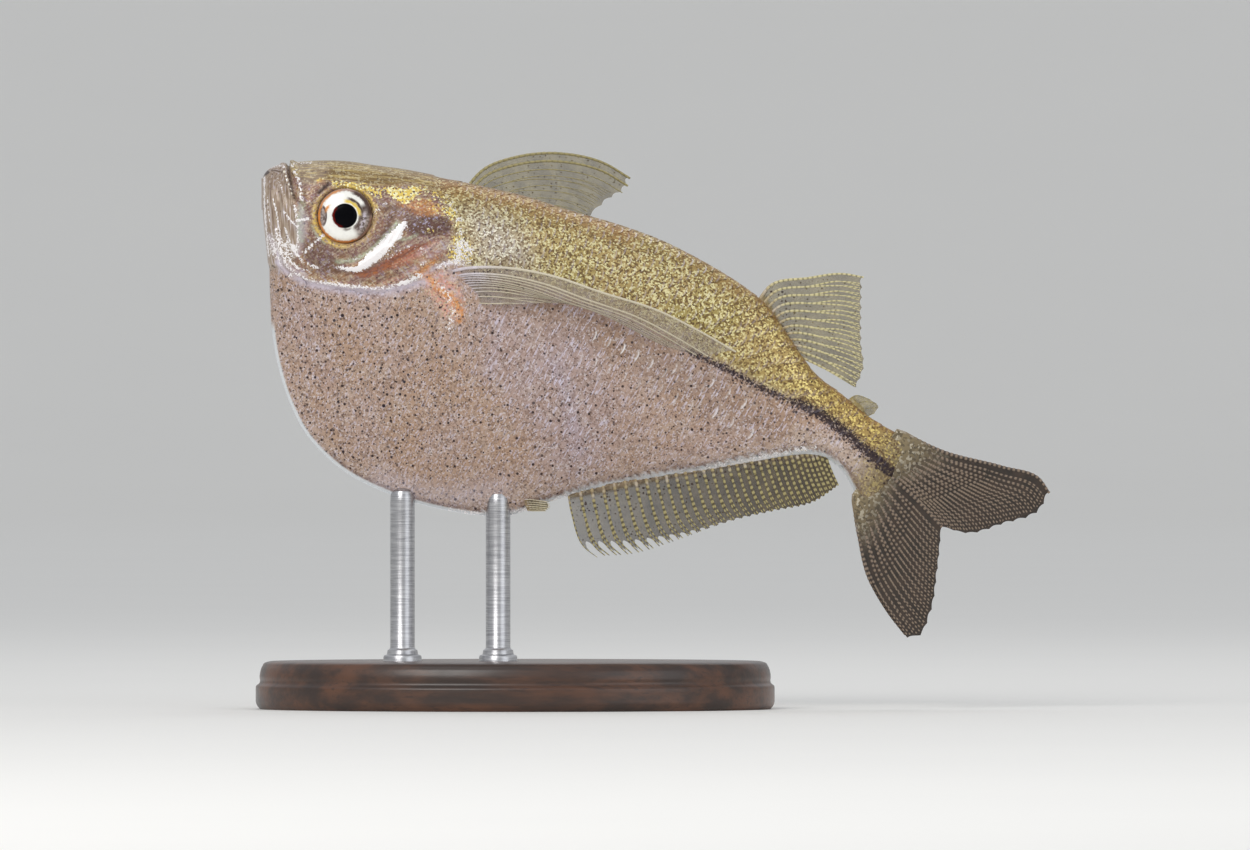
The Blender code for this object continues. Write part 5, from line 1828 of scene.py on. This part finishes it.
class HatchetfishBody(bpy.types.PropertyGroup):
    """Sizes of the skin and the scales."""

    coat_depth: length_property("Coat depth", "How far the skin lies inside the solids", 0.00009)
    scale_pitch: length_property("Scale pitch", "Distance between scales along a row", 0.00114)
    scale_row: length_property("Row spacing", "Distance between rows of scales", 0.00062)
    scale_lift: length_property("Scale lift", "How far a scale's free edge stands up", 0.000075)
    scale_reach: ratio_property("Scale reach", "Length behind the root, in pitches", 1.00)
    scale_root: ratio_property("Scale root", "Length ahead of the root, in pitches", 0.55)
    scale_half: ratio_property("Scale half width", "Half width of a scale, in pitches", 0.60)
    map_patch: ratio_property("Map patch", "Size of a scale on the bake map", 0.002)


class HatchetfishFins(bpy.types.PropertyGroup):
    """Sizes of the fins."""

    membrane: length_property("Membrane", "Thickness of the fins' skin", 0.00006)
    ray: length_property("Ray", "Radius of a ray at its root", 0.00009)
    segment: length_property("Segment", "Length of one bony segment of a ray", 0.00036)
    ray_sides: IntProperty(name="Ray sides", description="Sides of a ray", default=6, min=3, max=12)


class HatchetfishStand(bpy.types.PropertyGroup):
    """Sizes of the stand."""

    collar_radius: length_property("Collar", "Radius of the collar at a rod's foot", 0.00140)


class HatchetfishStage(bpy.types.PropertyGroup):
    """Sizes of the studio."""

    distance: length_property("Camera distance", "From the camera to the fish", 1.2)
    floor_radius: length_property("Floor radius", "From the fish to the floor's curve", 2.4)
    cove: length_property("Cove", "Radius of the floor's curve", 0.8)
    key: power_property("Key lamp", "Power of the main lamp", 1.0)
    fill: power_property("Fill lamp", "Power of the fill lamp", 0.35)
    rim: power_property("Rim lamp", "Power of the top lamp", 0.15)
    sky: ratio_property("Surround", "Strength of the even light all round", 0.64)


class Hatchetfish(bpy.types.PropertyGroup):
    """All settings of the model."""

    colours: PointerProperty(type=HatchetfishColours)
    body: PointerProperty(type=HatchetfishBody)
    fins: PointerProperty(type=HatchetfishFins)
    stand: PointerProperty(type=HatchetfishStand)
    stage: PointerProperty(type=HatchetfishStage)


class HATCHETFISH_OT_stage(bpy.types.Operator):
    """Set the camera, the lamps and the pale floor"""

    bl_idname = "hatchetfish.stage"
    bl_label = "Stage"

    def execute(self, context):
        settings = context.scene.hatchetfish
        set_camera(settings.stage)
        make_floor(settings.stage, floor_material(settings.colours))
        for name, look in LAMPS.items():
            add_lamp(name + "_lamp", getattr(settings.stage, name), *look)
        world = bpy.data.worlds.new("studio_air")
        world.use_nodes = True
        sky = world.node_tree.nodes["Background"].inputs
        sky["Color"].default_value = SKY_COLOUR
        sky["Strength"].default_value = settings.stage.sky
        context.scene.world = world
        context.scene.view_settings.view_transform = "Standard"
        return {"FINISHED"}


class HATCHETFISH_OT_body(bpy.types.Operator):
    """Make the skin and both flanks' scales"""

    bl_idname = "hatchetfish.body"
    bl_label = "Skin and scales"

    def execute(self, context):
        settings = context.scene.hatchetfish
        body = settings.body
        material = skin_material(settings.colours)
        skin = make_skin(body, material)
        template = scale_template(body)
        seeds = in_clear(scale_seeds(body))
        for name, flank in (("scales_right", 1), ("scales_left", -1)):
            coat = make_scales(name, flank, seeds, template, skin, body, material)
            join_onto_body(coat, "skin")
        bpy.data.objects.remove(template)
        join_onto_body(skin, "skin", "head", "lower_jaw", "trunk", "breast", "tail")
        return {"FINISHED"}


class HATCHETFISH_OT_beads(bpy.types.Operator):
    """Make the pale beads of the jaw and of the anal fin's root"""

    bl_idname = "hatchetfish.beads"
    bl_label = "Crystal beads"

    def execute(self, context):
        skin = bpy.data.objects["fish_skin"]
        material = bead_material(context.scene.hatchetfish.colours)
        for name, rows in (("jaw_beads", JAW_BEADS), ("anal_beads", ANAL_BEADS)):
            join_onto_body(make_beads(name, rows, skin, material), "skin")
        return {"FINISHED"}


class HATCHETFISH_OT_eyes(bpy.types.Operator):
    """Make both eyes"""

    bl_idname = "hatchetfish.eyes"
    bl_label = "Eyes"

    def execute(self, context):
        material = eye_material(context.scene.hatchetfish.colours)
        for node in ("eye_left", "eye_right"):
            join_onto_body(make_eye(node, material), "eye", node)
        return {"FINISHED"}


class HATCHETFISH_OT_fins(bpy.types.Operator):
    """Make the membrane and the rays of every fin"""

    bl_idname = "hatchetfish.fins"
    bl_label = "Fins"

    def execute(self, context):
        settings = context.scene.hatchetfish
        skins = {key: membrane_material(key + "_fin_skin", *look, settings.colours)
                 for key, look in FIN_SKINS.items()}
        bones = {key: ray_material(key + "_rays", *look, settings.colours)
                 for key, look in FIN_BONES.items()}
        for name, look in FIN_LOOKS.items():
            skin = make_membrane(name + "_membrane", look, settings.fins, skins[look["skin"]])
            rays = make_rays(name + "_rays", look, settings.fins, bones[look["bones"]])
            join_onto_body(skin, "fin", look["node"])
            join_onto_body(rays, "fin")
        return {"FINISHED"}


class HATCHETFISH_OT_stand(bpy.types.Operator):
    """Make the wooden base and the two steel rods"""

    bl_idname = "hatchetfish.stand"
    bl_label = "Stand"

    def execute(self, context):
        settings = context.scene.hatchetfish
        join_onto_body(make_base(wood_material(settings.colours)), "stand_base", "stand_base")
        steel = steel_material(settings.colours)
        for node in ("stand_rod_front", "stand_rod_rear"):
            join_onto_body(make_rod(node, settings.stand, steel), "stand_rod", node)
        return {"FINISHED"}


class HATCHETFISH_PT_panel(bpy.types.Panel):
    """Lists the model's makers"""

    bl_idname = "HATCHETFISH_PT_panel"
    bl_label = "Silver hatchetfish"
    bl_space_type = "VIEW_3D"
    bl_region_type = "UI"
    bl_category = "Hatchetfish"

    def draw(self, context):
        for maker in MAKERS:
            self.layout.operator(maker.bl_idname)


GROUPS = (HatchetfishColours, HatchetfishBody, HatchetfishFins, HatchetfishStand, HatchetfishStage,
          Hatchetfish)
MAKERS = (HATCHETFISH_OT_stage, HATCHETFISH_OT_body, HATCHETFISH_OT_beads, HATCHETFISH_OT_eyes,
          HATCHETFISH_OT_fins, HATCHETFISH_OT_stand)
CLASSES = GROUPS + MAKERS + (HATCHETFISH_PT_panel,)


def register():
    """Add the classes and the settings to Blender."""
    for item in CLASSES:
        bpy.utils.register_class(item)
    bpy.types.Scene.hatchetfish = PointerProperty(type=Hatchetfish)


def unregister():
    """Take the settings and the classes out of Blender."""
    del bpy.types.Scene.hatchetfish
    for item in reversed(CLASSES):
        bpy.utils.unregister_class(item)


def main():
    """Build the stage and every piece."""
    register()
    bpy.ops.hatchetfish.stage()
    bpy.ops.hatchetfish.body()
    bpy.ops.hatchetfish.beads()
    bpy.ops.hatchetfish.eyes()
    bpy.ops.hatchetfish.fins()
    bpy.ops.hatchetfish.stand()


if __name__ == "__main__":
    main()
